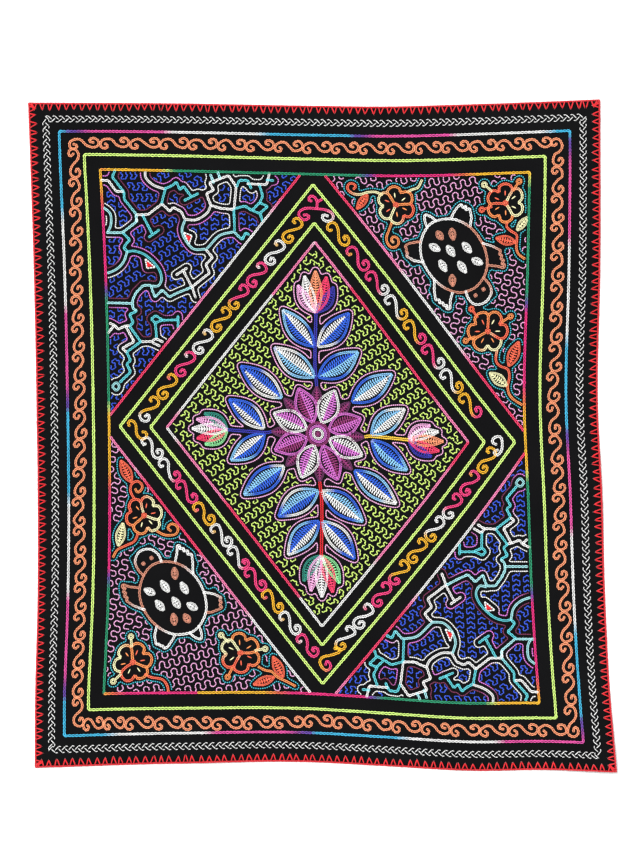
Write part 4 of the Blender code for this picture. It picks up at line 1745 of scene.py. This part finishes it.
def flower_field(field):
    """One field of flowers with a turtle: chains, straight stitches, outline and fills."""
    dyes = {"apricot": APRICOT, "cream": CREAM, "coral": CORAL, "white": WHITE, "copper": COPPER}
    hand = field.hand
    chains, stitches = turtle(field.turtle, dyes)
    guards = [inside_turtle(field.turtle)]
    for row in field.flowers:
        more_chains, more_stitches = flower(row)
        chains += more_chains
        stitches += more_stitches
        ring = on_circle(0.45, range(6))
        guards.append(turned(ring, 0, (row.x, row.y), row.radius))
        guards.append(turned(ring, 30, (row.x, row.y), row.radius * 1.5))
    for row in field.bobbles:
        chains += bobble(row, field.flowers, dyes)
    for twig in field.twigs:
        colours = variegated(APRICOT_YARN, twig.on_yarn)
        chains.append(run(flowing(twig.points), TIGHT_PITCH, CHAIN_WIDTH, colours, sharp=False))
    for row in field.leaves:
        outline, rungs = small_leaf(
            (row.x, row.y), row.degrees, row.length, row.width, dyes[row.colour])
        chains += outline
        stitches += rungs

    def in_corner(spots):
        return (spots + SQUARE) * hand
    chains = kept([placed(table, in_corner) for table in chains], in_corner_field(CHAIN_MARGIN))
    stitches = [placed(table, in_corner) for table in stitches]
    guards = in_corner(np.vstack(guards))
    tree = nearest(np.vstack((stitch_points(chains + stitches), guards)))
    corners = field_corners(hand, (1, 1))
    raster = distance_raster(tree, *corners, FLOWER_RASTER_STEP)
    outlines = []
    for path, closed in level_paths(raster, FLOWER_OUTLINE_GAP, SHORTEST_DOTTED_LINE, 2):
        dots = run(path, DOT_PITCH, DOT_WIDTH, TEAL, closed, sharp=False)
        dots[:, 2:4] = dots[:, 0:2] + DOT_SHARE * (dots[:, 2:4] - dots[:, 0:2])
        outlines.append(dots)
    outlines = kept(outlines, in_corner_field(OUTLINE_MARGIN))

    def allowed(spots):
        near = distances(tree, spots)
        return in_corner_field(FLOWER_WAVE_MARGIN)(spots) & (near > FLOWER_WAVE_GAP)

    def side_of(spots):
        return spots[:, 0] * hand / SQUARE[0] - spots[:, 1] * hand / SQUARE[1]
    waves = waves_on_both_sides(
        ROUND_WAVE, allowed, side_of, FLOWER_WAVE_HEADINGS, corners, SOFT_PINK)
    return chains, stitches, outlines, waves


# The medallion in the inner diamond: a rosette, four stems with buds, and pairs of leaves

MEDALLION_CHAIN_MARGIN = 1.5
MEDALLION_OUTLINE_GAP = 4.3
MEDALLION_OUTLINE_PITCH = 2.3
SHORTEST_MEDALLION_LINE = 12
MEDALLION_MAZE_MARGIN = 2.8
MEDALLION_MAZE_GAP = 6.0
MEDALLION_MAZE_HEADINGS = (34, -34)
STEM_WIDTH = 4.0
Stem = namedtuple("Stem", "degrees reach colour")
STEMS = (
    Stem(90, 128, "navy"), Stem(-90, 128, "red"), Stem(0, 98, "yellow"), Stem(180, 98, "navy"),
)
LeafPair = namedtuple("LeafPair", "stem along side degrees length width")
LEAF_PAIRS = (
    LeafPair(0, 60, 2, 56, 52, 23), LeafPair(0, 92, 2, 42, 50, 21),
    LeafPair(1, 60, 2, 56, 52, 23), LeafPair(1, 92, 2, 42, 50, 21),
    LeafPair(2, 58, 3, 38, 47, 20), LeafPair(3, 58, 3, 38, 47, 20),
)
Sprig = namedtuple("Sprig", "x y degrees length width")
SPRIGS = (
    Sprig(38, 36, 36, 54, 22), Sprig(-38, 36, 144, 54, 22), Sprig(38, -36, -36, 54, 22),
    Sprig(-38, -36, -144, 54, 22),
)
BudPetal = namedtuple("BudPetal", "degrees length width colour bend")
BUD = (
    BudPetal(34, 34, 11, "pink", 3), BudPetal(17, 40, 11, "white", 2),
    BudPetal(0, 44, 12, "orange", 0), BudPetal(-17, 40, 11, "rose", -2),
    BudPetal(-34, 34, 11, "navy", -3),
)
OTHER_BUD = (
    BudPetal(34, 34, 11, "mint", 3), BudPetal(17, 40, 11, "rose", 2),
    BudPetal(0, 44, 12, "white", 0), BudPetal(-17, 40, 11, "pink", -2),
    BudPetal(-34, 34, 11, "teal", -3),
)
LEAF_FILLS = ((ROYAL, LIGHT_BLUE), (LIGHT_BLUE, WHITE), (WHITE, ROYAL), (ROYAL, WHITE))
MEDALLION_DYES = {
    "navy": NAVY, "red": RED, "yellow": YELLOW, "pink": SOFT_PINK, "white": WHITE,
    "orange": PEACH, "rose": ROSE, "mint": MINT, "teal": DEEP_TEAL,
}


def medallion_leaves():
    """The pairs of leaves along the stems, in white, light blue and royal blue."""
    chains = []
    rungs = []
    for index, row in enumerate(LEAF_PAIRS):
        stem = STEMS[row.stem]
        for hand in (1, -1):
            base = turned([(row.along, row.side * hand)], stem.degrees)[0]
            number = 2 * index + (hand > 0)
            outline, filling = leaf(
                base, stem.degrees + hand * row.degrees, row.length, row.width,
                variegated(BLUE_YARN, 37 * number), LEAF_FILLS[number % len(LEAF_FILLS)],
                bend=hand * 1.5)
            chains += outline
            rungs += filling
    for index, row in enumerate(SPRIGS):
        outline, filling = leaf(
            (row.x, row.y), row.degrees, row.length, row.width,
            variegated(BLUE_YARN, 61 * index), LEAF_FILLS[(index + 1) % len(LEAF_FILLS)])
        chains += outline
        rungs += filling
    return chains, rungs


def medallion_buds():
    """The stems in rows of chain, each with a fan of petals at its end."""
    chains = []
    rungs = []
    for index, stem in enumerate(STEMS):
        line = [(50, 0), (stem.reach * 0.6, 1.5), (stem.reach, 0)]
        chains.append(run(flowing(turned(line, stem.degrees)), TIGHT_PITCH, STEM_WIDTH,
                          MEDALLION_DYES[stem.colour], sharp=False))
        size = 1.0 if stem.reach > 100 else 0.86
        for petal in (BUD if index % 2 == 0 else OTHER_BUD):
            colour = MEDALLION_DYES[petal.colour]
            base = turned([(stem.reach, 0)], stem.degrees)[0]
            outline, filling = leaf(
                base, stem.degrees + petal.degrees, petal.length * size, petal.width * size,
                colour, (colour, colour), 2.8, petal.bend)
            chains += outline
            rungs += filling
    return chains, rungs


def rosette():
    """Large and small petals round a netted middle, in plum, orchid and white."""
    chains = []
    rungs = []
    for index in range(8):
        degrees = 22.5 + index * 45
        base = turned([(13, 0)], degrees)[0]
        dark = index % 2 == 0
        edge = ORCHID if dark else WHITE
        fills = (PLUM, ORCHID) if dark else (WHITE, LILAC)
        outline, filling = leaf(base, degrees, 38, 22, edge, fills)
        chains += outline
        rungs += filling
        base = turned([(30, 0)], degrees + 22.5)[0]
        outline, filling = leaf(base, degrees + 22.5, 20, 9, DARK_PLUM, (PLUM, PLUM), 2.6)
        chains += outline
        rungs += filling
    for radius, colour in ((12.0, PLUM), (8.6, ORCHID), (5.2, WHITE), (2.0, PLUM)):
        ring = on_circle(radius, [turn * math.tau / 16 for turn in range(16)])
        chains.append(run(ring, 2.2, 3.0, colour, closed=True, sharp=False))
    return chains, rungs


def medallion():
    """Everything in the inner diamond: chains, rungs, the outline and the maze round them."""
    chains = []
    rungs = []
    for part in (medallion_leaves, medallion_buds, rosette):
        more_chains, more_rungs = part()
        chains += more_chains
        rungs += more_rungs
    chains = kept(chains, in_medallion(MEDALLION_CHAIN_MARGIN))
    guard = [spot for radius in (20, 30, 38)
             for spot in on_circle(radius, np.linspace(0, math.tau, 24))]
    tree = nearest(np.vstack((stitch_points(chains + rungs), guard)))
    low = (-INNER_DIAMOND[0], -INNER_DIAMOND[1])
    raster = distance_raster(tree, low, INNER_DIAMOND, RASTER_STEP)
    outlines = [
        run(path, MEDALLION_OUTLINE_PITCH, THIN_WIDTH, SOFT_PINK, closed, sharp=False)
        for path, closed in level_paths(raster, MEDALLION_OUTLINE_GAP, SHORTEST_MEDALLION_LINE, 2)
    ]
    outlines = kept(outlines, in_medallion(OUTLINE_MARGIN))

    def allowed(spots):
        good = in_medallion(MEDALLION_MAZE_MARGIN)(spots)
        good[good] = distances(tree, spots[good]) > MEDALLION_MAZE_GAP
        return good

    def side_of(spots):
        return spots[:, 0] * spots[:, 1]
    mazes = waves_on_both_sides(KINKED_WAVE, allowed, side_of, MEDALLION_MAZE_HEADINGS,
                                (low, INNER_DIAMOND), CHARTREUSE)
    return chains, rungs, outlines, mazes


def make_embroidery():
    """Sew every field of the cloth."""
    edge = sew("edge_rope", edge_rope(), SINGLE, ROPE_HEIGHT, EDGE_YARN, rise=ROPE_RISE)
    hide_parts("edge_yarn")
    points = sew("edge_points", edge_points(), SINGLE, POINT_HEIGHT, EDGE_YARN)
    sew("feather_row", feather_row(), SINGLE, FEATHER_HEIGHT, CHAIN_YARN)
    make_border_lines()
    sew_chains("border_scrolls", border_scrolls())
    sew_chains("diamond_scrolls", diamond_scrolls())
    for place, hand, field in (("top", 1, TOP_RIGHT), ("bottom", -1, BOTTOM_LEFT)):
        chains, outlines, mazes, eyes = band_field(hand)
        sew_chains(f"{place}_bands", chains)
        sew_fine(f"{place}_band_outlines", outlines)
        sew_fine(f"{place}_mazes", mazes)
        sew_fine(f"{place}_red_eyes", eyes, unevenness=0.5)
        chains, stitches, outlines, waves = flower_field(field)
        sew_chains(f"{place}_flowers", chains)
        sew_fine(f"{place}_flower_stitches", stitches)
        sew_fine(f"{place}_dotted_outlines", outlines)
        sew_fine(f"{place}_wandering", waves)
    chains, rungs, outlines, mazes = medallion()
    sew_chains("medallion_chains", chains, FILL)
    sew_fine("medallion_rungs", rungs)
    sew_fine("medallion_outlines", outlines)
    sew_fine("medallion_maze", mazes)


# The floor, the light and the camera, in metres and degrees

FLOOR_DROP = 0.0003
FLOOR_REACH = 4.0
FLOOR_COLOUR = (0.95, 0.95, 0.95, 1.0)
SKY_STRENGTH = 0.98
SUN_STRENGTH = 3.1
SUN_WIDTH = 18
SUN_HEADING = (0.45, -0.50, -1.0)
CAMERA_PLACE = (-0.0024, 0.0095, 2.115)


def floor_finish():
    """Matt pale paint."""
    material, _tree, shader = new_material("pale_floor", roughness=0.9, specular=0.1)
    shader.inputs["Base Color"].default_value = FLOOR_COLOUR
    return material


def make_floor():
    """A plain pale floor under the cloth."""
    shape = bmesh.new()
    bmesh.ops.create_grid(shape, x_segments=1, y_segments=1, size=FLOOR_REACH)
    bmesh.ops.translate(shape, vec=(0.0, 0.0, -FLOOR_DROP), verts=shape.verts)
    mesh = finished_mesh("floor", shape, smooth=False)
    mesh.materials.append(floor_finish())
    floor = put_in_scene("floor", mesh)


def make_light():
    """Even white light all round, and a large soft sun from the upper left."""
    world = bpy.data.worlds.new("studio")
    world.use_nodes = True
    background = world.node_tree.nodes["Background"]
    background.inputs["Color"].default_value = (1.0, 1.0, 1.0, 1.0)
    background.inputs["Strength"].default_value = SKY_STRENGTH
    bpy.context.scene.world = world
    sun = bpy.data.lights.new("sun", "SUN")
    sun.energy = SUN_STRENGTH
    sun.angle = math.radians(SUN_WIDTH)
    lamp = put_in_scene("sun", sun)
    lamp.rotation_euler = Vector(SUN_HEADING).to_track_quat("-Z", "Y").to_euler()


def make_camera():
    """Straight down on the cloth, with the top edge up, as the photograph has it."""
    lens = bpy.data.cameras.new("camera")
    lens.lens = 85.0
    lens.sensor_fit = "VERTICAL"
    lens.sensor_height = 36.0
    camera = put_in_scene("camera", lens)
    camera.location = CAMERA_PLACE
    bpy.context.scene.camera = camera


make_cloth()
make_embroidery()
make_floor()
make_light()
make_camera()
bpy.context.scene.view_settings.view_transform = "Standard"
bpy.context.view_layer.update()
